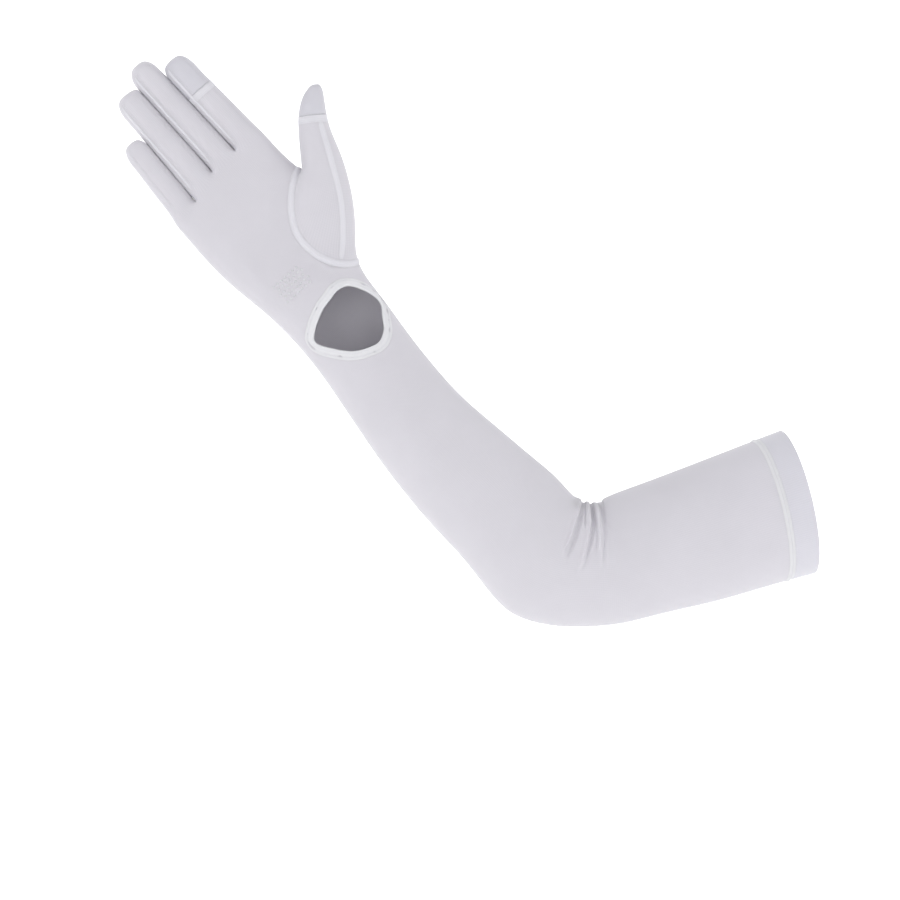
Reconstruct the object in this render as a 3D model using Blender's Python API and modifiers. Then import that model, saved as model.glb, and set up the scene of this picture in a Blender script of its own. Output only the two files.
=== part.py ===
"""Long driving glove for the right hand, with a sleeve that reaches over the elbow.

The glove keeps the form of the arm that it is worn on: fingers up, palm to the front (-Y), the
elbow bent in the picture's plane. X is to the right, Z is up. The origin is the centre of the
open hem, where the arm goes in.

One cage of control points, worked out from the tables below, is smoothed by a Subdivision
Surface. Its faces are then shared out between the pieces, and a Solidify modifier gives each
piece its cloth.
"""

import math

import bmesh
import bpy
from mathutils import Vector
from mathutils.bvhtree import BVHTree

# Lengths along the arm, from the hem to the fingers
UPPER_ARM_LENGTH = 0.1568
FOREARM_LENGTH = 0.2088
PALM_LENGTH = 0.1280
HEM_BAND_WIDTH = 0.0170

# Breadths across the sleeve and the hand, as the front view shows them
HEM_BREADTH = 0.0952
ELBOW_BREADTH = 0.0810
FOREARM_BREADTH = 0.0720
WRIST_BREADTH = 0.0612
PALM_BREADTH = 0.0820

# Thicknesses from the palm side to the back
HEM_DEPTH = 0.0880
ELBOW_DEPTH = 0.0760
FOREARM_DEPTH = 0.0650
WRIST_DEPTH = 0.0440
PALM_DEPTH = 0.0290

# Fingers
INDEX_LENGTH = 0.0752
MIDDLE_LENGTH = 0.0872
RING_LENGTH = 0.0818
LITTLE_LENGTH = 0.0603
INDEX_BREADTH = 0.0188
MIDDLE_BREADTH = 0.0187
RING_BREADTH = 0.0190
LITTLE_BREADTH = 0.0160
FINGER_CURL = 0.0070

# Thumb
THUMB_LENGTH = 0.0505
THUMB_ROOT_BREADTH = 0.0275
THUMB_TIP_BREADTH = 0.0165
THUMB_FORWARD = 0.0130
THENAR_BULGE = 0.0046

# Touch panels, measured back from the fingertips, and the other fingers' rounded ends
INDEX_PANEL_LENGTH = 0.0190
THUMB_PANEL_LENGTH = 0.0200
FINGERTIP_LENGTH = 0.0190

# Pose of the arm
ARM_RISE = math.radians(13.2)
ARM_RECEDE = math.radians(9.5)
ELBOW_BEND = math.radians(59.8)
HAND_TURN = math.radians(1.2)
THUMB_SPREAD = math.radians(36.0)

# Inner elbow: where its folds fan out from, and how high they stand
FAN_REACH = 0.0186
INNER_ELBOW_REACH = 0.0390
FOLD_HEIGHT = 0.0026

# Opening at the wrist, with its folded binding
OPENING_LENGTH = 0.0420
OPENING_ARC = 0.0578
BINDING_WIDTH = 0.0062
BINDING_THICKNESS = 0.0020

# Cloth
CLOTH = 0.0012
DOUBLED_CLOTH = 0.0018
PIECE_GAP = 0.0004

# Colours of the cloth, linear
WHITE_KNIT = (0.82, 0.82, 0.84)
BAND_KNIT = (0.86, 0.85, 0.84)
TOUCH_KNIT = (0.70, 0.70, 0.73)

# The pieces. Those of the cage come first, in the order of the numbers that mark their faces.
PIECES = (
    # name, wall, colour, roughness
    ("glove_body", CLOTH, WHITE_KNIT, 0.85),
    ("thumb", CLOTH, WHITE_KNIT, 0.85),
    ("thumb_tip", CLOTH, TOUCH_KNIT, 0.75),
    ("index_tip", CLOTH, TOUCH_KNIT, 0.75),
    ("hem_band", DOUBLED_CLOTH, BAND_KNIT, 0.80),
    ("wrist_binding", BINDING_THICKNESS, BAND_KNIT, 0.80),
)
BODY, THUMB, THUMB_TIP, INDEX_TIP, HEM, BINDING = range(len(PIECES))

# The twelve columns of control points round the sleeve: the inner edge, which runs to the thumb's
# side of the hand, five on the palm side, the outer edge, and five on the back.
COLUMNS = ("R", "T0", "T1", "T2", "T3", "T4", "U", "B4", "B3", "B2", "B1", "B0")

# How strongly the elbow's folds show in each column
FOLD_WEIGHT = {"R": 1.0, "T0": 1.0, "T1": 0.9, "T2": 0.35, "B0": 0.8, "B1": 0.4}

# Sections of the sleeve. along is a share of the limb's length, inner and outer are shares of the
# named breadth, measured from the limb's axis, and deep is a share of the named depth.
HEM_SEAM = 1.0 - HEM_BAND_WIDTH / UPPER_ARM_LENGTH
UPPER_ARM = (
    # along, breadth, inner, outer, depth, deep
    (1.000, HEM_BREADTH, 0.517, 0.483, HEM_DEPTH, 1.00),
    (HEM_SEAM, HEM_BREADTH, 0.494, 0.486, HEM_DEPTH, 0.98),
    (0.740, HEM_BREADTH, 0.460, 0.497, HEM_DEPTH, 0.96),
    (0.560, ELBOW_BREADTH, 0.495, 0.602, ELBOW_DEPTH, 1.07),
    (0.400, ELBOW_BREADTH, 0.455, 0.592, ELBOW_DEPTH, 1.04),
    (0.250, ELBOW_BREADTH, 0.425, 0.578, ELBOW_DEPTH, 1.01),
)
FOREARM = (
    (0.200, ELBOW_BREADTH, 0.405, 0.580, ELBOW_DEPTH, 0.97),
    (0.300, FOREARM_BREADTH, 0.415, 0.655, FOREARM_DEPTH, 1.08),
    (0.400, FOREARM_BREADTH, 0.384, 0.652, FOREARM_DEPTH, 1.04),
    (0.500, FOREARM_BREADTH, 0.350, 0.632, FOREARM_DEPTH, 1.00),
    (0.600, FOREARM_BREADTH, 0.321, 0.603, FOREARM_DEPTH, 0.94),
    (0.700, WRIST_BREADTH, 0.392, 0.655, WRIST_DEPTH, 1.28),
    (0.800, WRIST_BREADTH, 0.415, 0.599, WRIST_DEPTH, 1.16),
    (0.900, WRIST_BREADTH, 0.460, 0.540, WRIST_DEPTH, 1.06),
    (1.000, WRIST_BREADTH, 0.506, 0.498, WRIST_DEPTH, 1.00),
)

# The elbow's fan, from the upper arm to the forearm. turn is a share of the bend, reach a share of
# the elbow's breadth from the inner crease to the outer edge, and fold a share of the fold height:
# a ridge is more than 0, a valley less.
ELBOW_FAN = (
    # turn, reach, fold
    (-0.03, 0.985, 0.30),
    (0.090, 0.980, -1.00),
    (0.200, 0.980, 0.90),
    (0.320, 0.990, -1.00),
    (0.440, 1.010, 1.00),
    (0.560, 1.030, -1.00),
    (0.690, 1.050, 0.90),
    (0.830, 1.040, -0.20),
)

# Sections of the palm. along is a share of the palm's length, the next four are shares of the
# palm's breadth, measured from the wrist's axis to the thumb's side, and the last three are
# shares of the palm's depth: the palm side, its hollow, and the back. One section has no edge,
# because the thumb's root opens there.
PALM = (
    # along, seam, edge, back_seam, outer, palm, hollow, back
    (0.255, 0.185, 0.430, 0.375, -0.372, 0.72, 0.00, 0.68),
    (0.515, 0.125, None, 0.455, -0.448, 0.66, 0.08, 0.60),
    (0.700, 0.510, 0.585, 0.570, -0.462, 0.58, 0.10, 0.56),
    (0.845, 0.500, 0.560, 0.500, -0.452, 0.54, 0.03, 0.55),
)
# The five columns on each side of the palm: how far each lies from the outer edge, as a share of
# the way to the seam, how deep it is, and whether the palm's hollow reaches it.
PALM_COLUMNS = (
    # spread, deep, hollowed
    (1.00, 0.62, 0.0),
    (0.77, 1.00, 1.0),
    (0.525, 1.00, 1.0),
    (0.27, 1.00, 0.0),
    (0.05, 0.62, 0.0),
)
# How far the thumb's edge starts behind the first section, as a share of the palm's length
EDGE_LAG = 0.10

# The webs between the fingers and the palm's two outer corners. along is a share of the palm's
# length, across a share of its breadth and deep a share of half its depth.
WEBS = (
    # along, across, deep
    (0.985, 0.535, 0.60),
    (0.985, 0.284, 0.78),
    (0.990, 0.045, 0.80),
    (0.925, -0.200, 0.76),
    (0.930, -0.470, 0.52),
)
# How far the fingers' common base swells out at both ends, as a share of the palm's breadth
BASE_SWELL = 0.02

# The fingers, from the thumb's side. root and tip say where the middle line starts and ends, as
# shares of the palm's breadth from the wrist's axis.
FINGERS = (
    # length, breadth, end length, root, tip
    (INDEX_LENGTH, INDEX_BREADTH, INDEX_PANEL_LENGTH, 0.410, 0.393),
    (MIDDLE_LENGTH, MIDDLE_BREADTH, FINGERTIP_LENGTH, 0.168, 0.163),
    (RING_LENGTH, RING_BREADTH, FINGERTIP_LENGTH, -0.078, -0.069),
    (LITTLE_LENGTH, LITTLE_BREADTH, FINGERTIP_LENGTH, -0.322, -0.286),
)
# Sections of a finger: along is a share of its length, wide of its breadth
FINGER_SECTIONS = (
    # along, wide
    (0.11, 0.82),
    (0.36, 0.99),
    (0.60, 1.00),
)
FINGERTIP_SECTIONS = (
    # share of the end's length, wide
    (0.00, 0.98),
    (0.48, 0.94),
    (0.90, 0.68),
)
# Thickness of a finger, as a share of its breadth
FINGER_THICKNESS = 0.92
# Least width of the first and last finger's outer side along their lower half
OUTER_SIDE_WIDE = 1.10
OUTER_SIDE_END = 0.50

# Sections of the thumb above its root: wide is a share of the way from the tip's breadth to the
# root's, and bow a share of the thumb's length by which the middle line leans to the fingers.
THUMB_SECTIONS = (
    # along, wide, bow
    (0.00, 1.00, 0.000),
    (0.23, 0.66, 0.033),
    (0.42, 0.36, 0.060),
)
THUMB_TIP_SECTIONS = (
    # share of the panel's length, wide, bow
    (0.00, 0.18, 0.066),
    (0.50, -0.10, 0.042),
    (0.84, -0.50, 0.002),
    (1.00, -1.10, -0.020),
)
# Where the thumb's root lies, as shares of the palm's length and breadth
THUMB_ROOT_ALONG = 0.663
THUMB_ROOT_ACROSS = 0.729
# How much of the thumb's lean to the front its root has, and the thumb's thickness
THUMB_ROOT_FORWARD = 0.35
THUMB_THICKNESS = 0.90
# Sections between the seam and the thumb's root, as shares of the way
THENAR_SECTIONS = (0.34, 0.68)

# The wrist opening's edge, as shares of its length and breadth from its middle, in order round it
OPENING_EDGE = (
    # toward the hand, round to the thumb's side
    (0.43, 0.36),
    (0.50, 0.19),
    (0.47, 0.01),
    (0.43, -0.17),
    (0.30, -0.39),
    (0.15, -0.50),
    (-0.13, -0.37),
    (-0.34, -0.22),
    (-0.46, -0.05),
    (-0.50, 0.10),
    (-0.42, 0.25),
    (-0.25, 0.37),
    (-0.06, 0.50),
    (0.18, 0.47),
)
# Where the opening's middle lies: along the wrist, as a share of the opening's length, and round it
OPENING_ALONG = -0.09
OPENING_TURN = math.radians(11.0)
OPENING_POINTS = 48
# The mean radius that turns a length round the wrist into an angle
WRIST_RADIUS = (WRIST_BREADTH + WRIST_DEPTH) / 4.0
# Reach of the wedge that cuts the opening, as shares of the way from the wrist's axis to its
# surface, and where the middles of its two ends lie on that way
CUT_START = 0.60
CUT_END = 1.40
CUT_START_MIDDLE = 0.34
CUT_END_MIDDLE = 1.80
# The binding's section: its number of sides, and the powers that square off an ellipse
BINDING_SIDES = 8
BINDING_SQUARE_ACROSS = 0.55
BINDING_SQUARE_UP = 0.75


def round_gain(sides):
    """How far a control ring's points lie outside the smooth ring that they make."""
    return 6.0 / (4.0 + 2.0 * math.cos(2.0 * math.pi / sides))


def clear_scene():
    for thing in list(bpy.data.objects):
        bpy.data.objects.remove(thing)


def new_collection(name):
    collection = bpy.data.collections.new(name)
    bpy.context.scene.collection.children.link(collection)
    return collection


def new_material(name, colour, roughness):
    material = bpy.data.materials.new(name)
    material.use_nodes = True
    shader = material.node_tree.nodes["Principled BSDF"]
    shader.inputs["Base Color"].default_value = (*colour, 1.0)
    shader.inputs["Roughness"].default_value = roughness
    shader.inputs["Metallic"].default_value = 0.0
    return material


# Directions. Each limb has an axis, a side that points to the inner elbow and the thumb, and a
# front that points to the viewer.
def arm_directions():
    rise = ARM_RISE
    upper_axis = Vector((
        math.cos(ARM_RECEDE) * math.cos(rise),
        math.sin(ARM_RECEDE),
        math.cos(ARM_RECEDE) * math.sin(rise),
    ))
    upper_side = Vector((-math.sin(rise), 0.0, math.cos(rise)))
    fore = math.pi + rise - ELBOW_BEND
    fore_axis = Vector((math.cos(fore), 0.0, math.sin(fore)))
    fore_side = Vector((math.sin(fore), 0.0, -math.cos(fore)))
    hand = fore - HAND_TURN
    hand_axis = Vector((math.cos(hand), 0.0, math.sin(hand)))
    hand_side = Vector((math.sin(hand), 0.0, -math.cos(hand)))
    return upper_axis, upper_side, fore_axis, fore_side, hand_axis, hand_side


UPPER_AXIS, UPPER_SIDE, FORE_AXIS, FORE_SIDE, HAND_AXIS, HAND_SIDE = arm_directions()
UPPER_FRONT = UPPER_AXIS.cross(UPPER_SIDE)
FRONT = Vector((0.0, -1.0, 0.0))
ELBOW = -UPPER_AXIS * UPPER_ARM_LENGTH
WRIST = ELBOW + FORE_AXIS * FOREARM_LENGTH


def sleeve_ring(inner_edge, outer_edge, front, depth, fold=0.0):
    """Control points of one section of the sleeve, by column."""
    middle = (inner_edge + outer_edge) / 2.0
    across = (inner_edge - outer_edge) / 2.0
    gain = round_gain(len(COLUMNS))
    points = {}
    for place, column in enumerate(COLUMNS):
        angle = 2.0 * math.pi * place / len(COLUMNS)
        spoke = across * math.cos(angle) + front * depth / 2.0 * math.sin(angle)
        out = spoke.normalized() * fold * FOLD_WEIGHT.get(column, 0.0)
        points[column] = middle + spoke * gain + out
    return points


def limb_rings(rows, start, axis, side, front, length):
    rings = []
    for along, breadth, inner, outer, depth, deep in rows:
        centre = start + axis * length * along
        rings.append(sleeve_ring(
            centre + side * breadth * inner,
            centre - side * breadth * outer,
            front,
            depth * deep,
        ))
    return rings


def elbow_rings():
    """Sections that fan out round the inner elbow, each a ridge or a valley of its folds."""
    inward = (UPPER_SIDE + FORE_SIDE).normalized()
    crease = ELBOW + inward * INNER_ELBOW_REACH
    pivot = crease + inward * FAN_REACH
    rings = []
    for turn, reach, fold in ELBOW_FAN:
        angle = ARM_RISE - math.pi / 2.0 - ELBOW_BEND * turn
        spoke = Vector((math.cos(angle), 0.0, math.sin(angle)))
        share = min(max(turn, 0.0), 1.0)
        front = UPPER_FRONT.lerp(FRONT, share).normalized()
        inner_edge = pivot + spoke * FAN_REACH
        outer_edge = inner_edge + spoke * ELBOW_BREADTH * reach
        rings.append(sleeve_ring(inner_edge, outer_edge, front, ELBOW_DEPTH, FOLD_HEIGHT * fold))
    return rings


def hand_point(along, across, ahead):
    """A point of the hand: metres from the wrist's middle, to the thumb, and to the front."""
    return WRIST + HAND_AXIS * along + HAND_SIDE * across + FRONT * ahead


def palm_rings():
    gain = round_gain(len(COLUMNS))
    rings = []
    for along, seam, edge, back_seam, outer, palm, hollow, back in PALM:
        ring = {}
        start = along * PALM_LENGTH
        ring["U"] = hand_point(start, outer * PALM_BREADTH * gain, 0.0)
        for place, (spread, deep, hollowed) in enumerate(PALM_COLUMNS):
            top = outer + (seam - outer) * spread
            low = outer + (back_seam - outer) * spread
            ahead = (palm * deep - hollow * hollowed) * PALM_DEPTH
            ring[f"T{place}"] = hand_point(start, top * PALM_BREADTH, ahead)
            ring[f"B{place}"] = hand_point(start, low * PALM_BREADTH, -back * deep * PALM_DEPTH)
        if edge is not None:
            lag = EDGE_LAG * PALM_LENGTH if along < THUMB_ROOT_ALONG / 2.0 else 0.0
            ring["R"] = hand_point(start - lag, edge * PALM_BREADTH, 0.0)
        rings.append(ring)
    return rings


def web_ring():
    """The fingers' common base: its corners on the palm side and the back, and the webs between."""
    ring = {}
    half = PALM_DEPTH / 2.0
    for place, (along, across, deep) in enumerate(WEBS):
        start = along * PALM_LENGTH
        ring[f"T{place}"] = hand_point(start, across * PALM_BREADTH, deep * half)
        ring[f"B{place}"] = hand_point(start, across * PALM_BREADTH, -deep * half)
        ring[f"S{place}"] = hand_point(start, across * PALM_BREADTH, 0.0)
    ring["S0"] += HAND_SIDE * BASE_SWELL * PALM_BREADTH
    ring["S4"] -= HAND_SIDE * BASE_SWELL * PALM_BREADTH
    return ring


def finger_columns(place):
    """The six columns of a finger: its corners and sides on the fingers' common base."""
    return (
        f"S{place}", f"T{place}", f"T{place + 1}",
        f"S{place + 1}", f"B{place + 1}", f"B{place}",
    )


def finger_rings(place):
    length, breadth, end, root, tip = FINGERS[place]
    base = (WEBS[place][0] + WEBS[place + 1][0]) / 2.0 * PALM_LENGTH
    rows = [(share * length, wide) for share, wide in FINGER_SECTIONS]
    rows += [(length - end * (1.0 - share), wide) for share, wide in FINGERTIP_SECTIONS]
    columns = finger_columns(place)
    half = breadth / 2.0 * round_gain(len(columns))
    rings = []
    for along, wide in rows:
        share = along / length
        across = (root + (tip - root) * share) * PALM_BREADTH
        ahead = FINGER_CURL * share * share
        ring = {}
        for corner, column in enumerate(columns):
            angle = 2.0 * math.pi * corner / len(columns)
            outer_side = place == 0 and math.cos(angle) > 0.0
            outer_side = outer_side or (place == len(FINGERS) - 1 and math.cos(angle) < 0.0)
            full = max(wide, OUTER_SIDE_WIDE) if outer_side and share < OUTER_SIDE_END else wide
            ring[column] = hand_point(
                base + along,
                across + half * full * math.cos(angle),
                ahead + half * wide * FINGER_THICKNESS * math.sin(angle),
            )
        rings.append(ring)
    return rings


def thumb_rings(loop):
    """Sections of the thumb, from the seam's loop of eight points to the tip."""
    root = hand_point(THUMB_ROOT_ALONG * PALM_LENGTH, THUMB_ROOT_ACROSS * PALM_BREADTH, 0.0)
    axis = HAND_AXIS * math.cos(THUMB_SPREAD) + HAND_SIDE * math.sin(THUMB_SPREAD)
    side = HAND_SIDE * math.cos(THUMB_SPREAD) - HAND_AXIS * math.sin(THUMB_SPREAD)
    rows = [(along * THUMB_LENGTH, wide, bow) for along, wide, bow in THUMB_SECTIONS]
    rows += [
        (THUMB_LENGTH - THUMB_PANEL_LENGTH * (1.0 - share), wide, bow)
        for share, wide, bow in THUMB_TIP_SECTIONS
    ]
    turns = [2.0 * math.pi * corner / len(loop) for corner in range(len(loop))]
    rings = []
    for along, wide, bow in rows:
        share = along / THUMB_LENGTH
        breadth = THUMB_TIP_BREADTH + (THUMB_ROOT_BREADTH - THUMB_TIP_BREADTH) * wide
        half = breadth / 2.0 * round_gain(len(loop))
        lean = THUMB_ROOT_FORWARD + (1.0 - THUMB_ROOT_FORWARD) * share
        centre = root + axis * along - side * bow * THUMB_LENGTH + FRONT * THUMB_FORWARD * lean
        rings.append([
            centre
            + side * half * math.cos(angle)
            + FRONT * half * THUMB_THICKNESS * math.sin(angle)
            for angle in turns
        ])
    blends = []
    for share in THENAR_SECTIONS:
        bulge = THENAR_BULGE * math.sin(math.pi * share)
        ring = []
        for near, far, angle in zip(loop, rings[0], turns):
            point = near.lerp(far, share)
            point += FRONT * bulge * max(math.sin(angle), 0.0)
            point += side * bulge * max(math.cos(angle), 0.0)
            ring.append(point)
        blends.append(ring)
    return blends + rings


class Cage:
    """The control points and faces of the whole glove."""

    def __init__(self):
        self.mesh = bmesh.new()

    def points(self, ring):
        if isinstance(ring, dict):
            return {column: self.mesh.verts.new(point) for column, point in ring.items()}
        return [self.mesh.verts.new(point) for point in ring]

    def face(self, corners, piece):
        made = self.mesh.faces.new(corners)
        made.material_index = piece
        made.smooth = True

    def bridge(self, first, second, piece):
        for place in range(len(first)):
            after = (place + 1) % len(first)
            self.face((first[place], first[after], second[after], second[place]), piece)

    def cap(self, ring, piece):
        half = len(ring) // 2
        for step in range(half - 1):
            self.face(
                (ring[step], ring[step + 1], ring[-step - 2], ring[-step - 1]), piece
            )


def build_cage():
    cage = Cage()
    sleeve = limb_rings(
        UPPER_ARM, ELBOW, UPPER_AXIS, UPPER_SIDE, UPPER_FRONT, UPPER_ARM_LENGTH
    )
    sleeve += elbow_rings()
    sleeve += limb_rings(FOREARM, ELBOW, FORE_AXIS, FORE_SIDE, FRONT, FOREARM_LENGTH)
    rings = [cage.points(ring) for ring in sleeve]
    palm = [cage.points(ring) for ring in palm_rings()]
    rings.append(palm[0])
    for place in range(len(rings) - 1):
        piece = HEM if place == 0 else BODY
        lists = [[ring[column] for column in COLUMNS] for ring in rings[place:place + 2]]
        cage.bridge(lists[0], lists[1], piece)
    web = cage.points(web_ring())
    web["R"] = web["S0"]
    web["U"] = web["S4"]
    palm.append(web)
    for place in range(len(palm) - 1):
        near, far = palm[place], palm[place + 1]
        for step in range(len(COLUMNS)):
            first, second = COLUMNS[step], COLUMNS[(step + 1) % len(COLUMNS)]
            corners = (near.get(first), near.get(second), far.get(second), far.get(first))
            if None not in corners:
                cage.face(corners, BODY)
    for place in range(len(FINGERS)):
        columns = finger_columns(place)
        before = [web[column] for column in columns]
        end_piece = INDEX_TIP if place == 0 else BODY
        for count, ring in enumerate(finger_rings(place)):
            made = cage.points(ring)
            after = [made[column] for column in columns]
            cage.bridge(before, after, end_piece if count > len(FINGER_SECTIONS) else BODY)
            before = after
        cage.cap(before, end_piece)
    first, middle, last = palm[0], palm[1], palm[2]
    loop = [
        first["R"], first["T0"], middle["T0"], last["T0"],
        last["R"], last["B0"], middle["B0"], first["B0"],
    ]
    before = loop
    tip_start = len(THENAR_SECTIONS) + len(THUMB_SECTIONS)
    for count, ring in enumerate(thumb_rings([corner.co.copy() for corner in loop])):
        after = cage.points(ring)
        cage.bridge(before, after, THUMB_TIP if count > tip_start else THUMB)
        before = after
    cage.cap(before, THUMB_TIP)
    bmesh.ops.recalc_face_normals(cage.mesh, faces=cage.mesh.faces)
    return cage.mesh


def smooth_form():
    """The glove's whole outer surface, smoothed, with each piece's faces marked by its number."""
    mesh = bpy.data.meshes.new("glove_form")
    cage = build_cage()
    cage.to_mesh(mesh)
    cage.free()
    for _ in PIECES:
        mesh.materials.append(None)
    form = bpy.data.objects.new("glove_form", mesh)
    bpy.context.scene.collection.objects.link(form)
    smoothing = form.modifiers.new("smooth", "SUBSURF")
    smoothing.levels = 1
    smoothing.render_levels = 1
    evaluated = form.evaluated_get(bpy.context.evaluated_depsgraph_get())
    surface = bpy.data.meshes.new_from_object(evaluated)
    bpy.data.objects.remove(form)
    return surface


def part_of_form(surface, piece):
    """The faces of one piece, drawn back from its neighbours by half the gap."""
    mesh = bmesh.new()
    mesh.from_mesh(surface)
    others = [face for face in mesh.faces if face.material_index != piece]
    shared = {corner for face in others for corner in face.verts}
    moves = {}
    for corner in shared:
        inward = Vector()
        for edge in corner.link_edges:
            other = edge.other_vert(corner)
            inside = all(face.material_index == piece for face in edge.link_faces)
            if inside and other not in shared:
                inward += (other.co - corner.co).normalized()
        if inward.length > 0.0:
            moves[corner] = inward.normalized() * PIECE_GAP / 2.0
    for corner, move in moves.items():
        corner.co += move
    bmesh.ops.delete(mesh, geom=others, context="FACES")
    for face in mesh.faces:
        face.material_index = 0
        face.smooth = True
    return mesh


def add_object(collection, piece, mesh):
    """The piece's object, with a material of its own."""
    name, _, colour, roughness = PIECES[piece]
    data = bpy.data.meshes.new(name)
    mesh.to_mesh(data)
    mesh.free()
    data.materials.clear()
    data.materials.append(new_material(f"{name}_cloth", colour, roughness))
    made = bpy.data.objects.new(name, data)
    collection.objects.link(made)
    return made


def add_cloth(made, piece):
    """The piece's wall, built inward from the outer surface."""
    cloth = made.modifiers.new("cloth", "SOLIDIFY")
    cloth.thickness = PIECES[piece][1]
    cloth.offset = -1.0
    cloth.use_even_offset = True


def opening_spokes(tree, widen):
    """Points on the wrist's surface round the opening, each with the way out and the way along.

    widen moves the edge outward over the cloth, in metres.
    """
    control = []
    for toward_hand, toward_thumb in OPENING_EDGE:
        control.append(Vector((toward_hand * OPENING_LENGTH, toward_thumb * OPENING_ARC)))
    count = len(control)
    edge = []
    for step in range(OPENING_POINTS):
        place = step * count / OPENING_POINTS
        first = int(place)
        share = place - first
        before, start, end, after = (control[(first + k) % count] for k in (-1, 0, 1, 2))
        edge.append(0.5 * (
            2.0 * start
            + (end - before) * share
            + (2.0 * before - 5.0 * start + 4.0 * end - after) * share ** 2
            + (3.0 * start - before - 3.0 * end + after) * share ** 3
        ))
    spokes = []
    for step in range(OPENING_POINTS):
        tangent = edge[(step + 1) % OPENING_POINTS] - edge[step - 1]
        tangent.normalize()
        outward = Vector((tangent.y, -tangent.x))
        if outward.dot(edge[step]) < 0.0:
            outward = -outward
        spot = edge[step] + outward * widen
        centre = WRIST + FORE_AXIS * (spot.x + OPENING_ALONG * OPENING_LENGTH)
        angle = OPENING_TURN + spot.y / WRIST_RADIUS
        spoke = FRONT * math.cos(angle) + FORE_SIDE * math.sin(angle)
        hit, normal, _, _ = tree.ray_cast(centre, spoke)
        spokes.append((centre, spoke, hit, normal))
    return spokes


def opening_cutter(collection, tree, widen):
    """A wedge from inside the wrist outward, as wide as the opening and its binding."""
    spokes = opening_spokes(tree, widen)
    mesh = bmesh.new()
    inner = [mesh.verts.new(centre.lerp(hit, CUT_START)) for centre, _, hit, _ in spokes]
    outer = [mesh.verts.new(centre.lerp(hit, CUT_END)) for centre, _, hit, _ in spokes]
    centre = sum((spoke[0] for spoke in spokes), Vector()) / len(spokes)
    outward = sum((spoke[1] for spoke in spokes), Vector()).normalized()
    inner_middle = mesh.verts.new(centre + outward * WRIST_RADIUS * CUT_START_MIDDLE)
    outer_middle = mesh.verts.new(centre + outward * WRIST_RADIUS * CUT_END_MIDDLE)
    for step in range(len(inner)):
        after = (step + 1) % len(inner)
        mesh.faces.new((inner[step], inner[after], outer[after], outer[step]))
        mesh.faces.new((inner[after], inner[step], inner_middle))
        mesh.faces.new((outer[step], outer[after], outer_middle))
    bmesh.ops.recalc_face_normals(mesh, faces=mesh.faces)
    data = bpy.data.meshes.new("wrist_opening_cutter")
    mesh.to_mesh(data)
    mesh.free()
    cutter = bpy.data.objects.new("wrist_opening_cutter", data)
    cutter.hide_render = True
    cutter.display_type = "WIRE"
    collection.objects.link(cutter)
    return cutter


def squared(value, power):
    return math.copysign(abs(value) ** power, value)


def binding_mesh(tree):
    """The folded band round the opening: a flat oval section swept along its edge."""
    inside = opening_spokes(tree, 0.0)
    outside = opening_spokes(tree, BINDING_WIDTH)
    mesh = bmesh.new()
    rows = []
    for near, far in zip(inside, outside):
        normal = (near[3] + far[3]).normalized()
        if normal.dot(near[1]) < 0.0:
            normal = -normal
        middle = (near[2] + far[2]) / 2.0 - normal * CLOTH / 2.0
        across = (far[2] - near[2]) / 2.0
        up = normal * BINDING_THICKNESS / 2.0
        row = []
        for corner in range(BINDING_SIDES):
            angle = 2.0 * math.pi * (corner + 0.5) / BINDING_SIDES
            wide = squared(math.cos(angle), BINDING_SQUARE_ACROSS)
            high = squared(math.sin(angle), BINDING_SQUARE_UP)
            row.append(mesh.verts.new(middle + across * wide + up * high))
        rows.append(row)
    for step in range(len(rows)):
        first, second = rows[step], rows[(step + 1) % len(rows)]
        for corner in range(BINDING_SIDES):
            after = (corner + 1) % BINDING_SIDES
            face = mesh.faces.new((first[corner], first[after], second[after], second[corner]))
            face.smooth = True
    bmesh.ops.recalc_face_normals(mesh, faces=mesh.faces)
    return mesh


def main():
    clear_scene()
    parts = new_collection("driving_glove")
    cutters = new_collection("cutters")
    surface = smooth_form()
    whole = bmesh.new()
    whole.from_mesh(surface)
    tree = BVHTree.FromBMesh(whole)
    whole.free()
    for piece in (BODY, THUMB, THUMB_TIP, INDEX_TIP, HEM):
        made = add_object(parts, piece, part_of_form(surface, piece))
        add_cloth(made, piece)
        if piece == BODY:
            cut = made.modifiers.new("wrist_opening", "BOOLEAN")
            cut.operation = "DIFFERENCE"
            cut.solver = "EXACT"
            cut.object = opening_cutter(cutters, tree, BINDING_WIDTH + 2.0 * PIECE_GAP)
    add_object(parts, BINDING, binding_mesh(tree))


main()
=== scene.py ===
"""Looks of a long knitted driving glove for the right hand, with a sleeve over the bent elbow.

The glove's form is one cage of control points, worked out from named sizes and short tables and
smoothed by a Subdivision Surface. Its faces are shared out between the pieces, which then get
their folds, wall, seams, stitches and knit. X is to the right, Z is up, and the palm looks to -Y.
"""

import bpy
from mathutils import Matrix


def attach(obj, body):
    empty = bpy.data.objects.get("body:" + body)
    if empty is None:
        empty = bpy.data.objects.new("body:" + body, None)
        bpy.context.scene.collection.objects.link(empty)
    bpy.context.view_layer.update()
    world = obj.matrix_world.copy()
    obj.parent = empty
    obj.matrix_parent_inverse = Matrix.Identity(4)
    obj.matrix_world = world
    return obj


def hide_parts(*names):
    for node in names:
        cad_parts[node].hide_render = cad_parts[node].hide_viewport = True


bl_info = {
    "name": "Long driving glove",
    "version": (1, 0, 0),
    "blender": (4, 5, 0),
    "location": "View3D > Sidebar > Glove",
    "description": "Builds a long knitted driving glove, its seams and a plain studio",
    "category": "Object",
}

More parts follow.
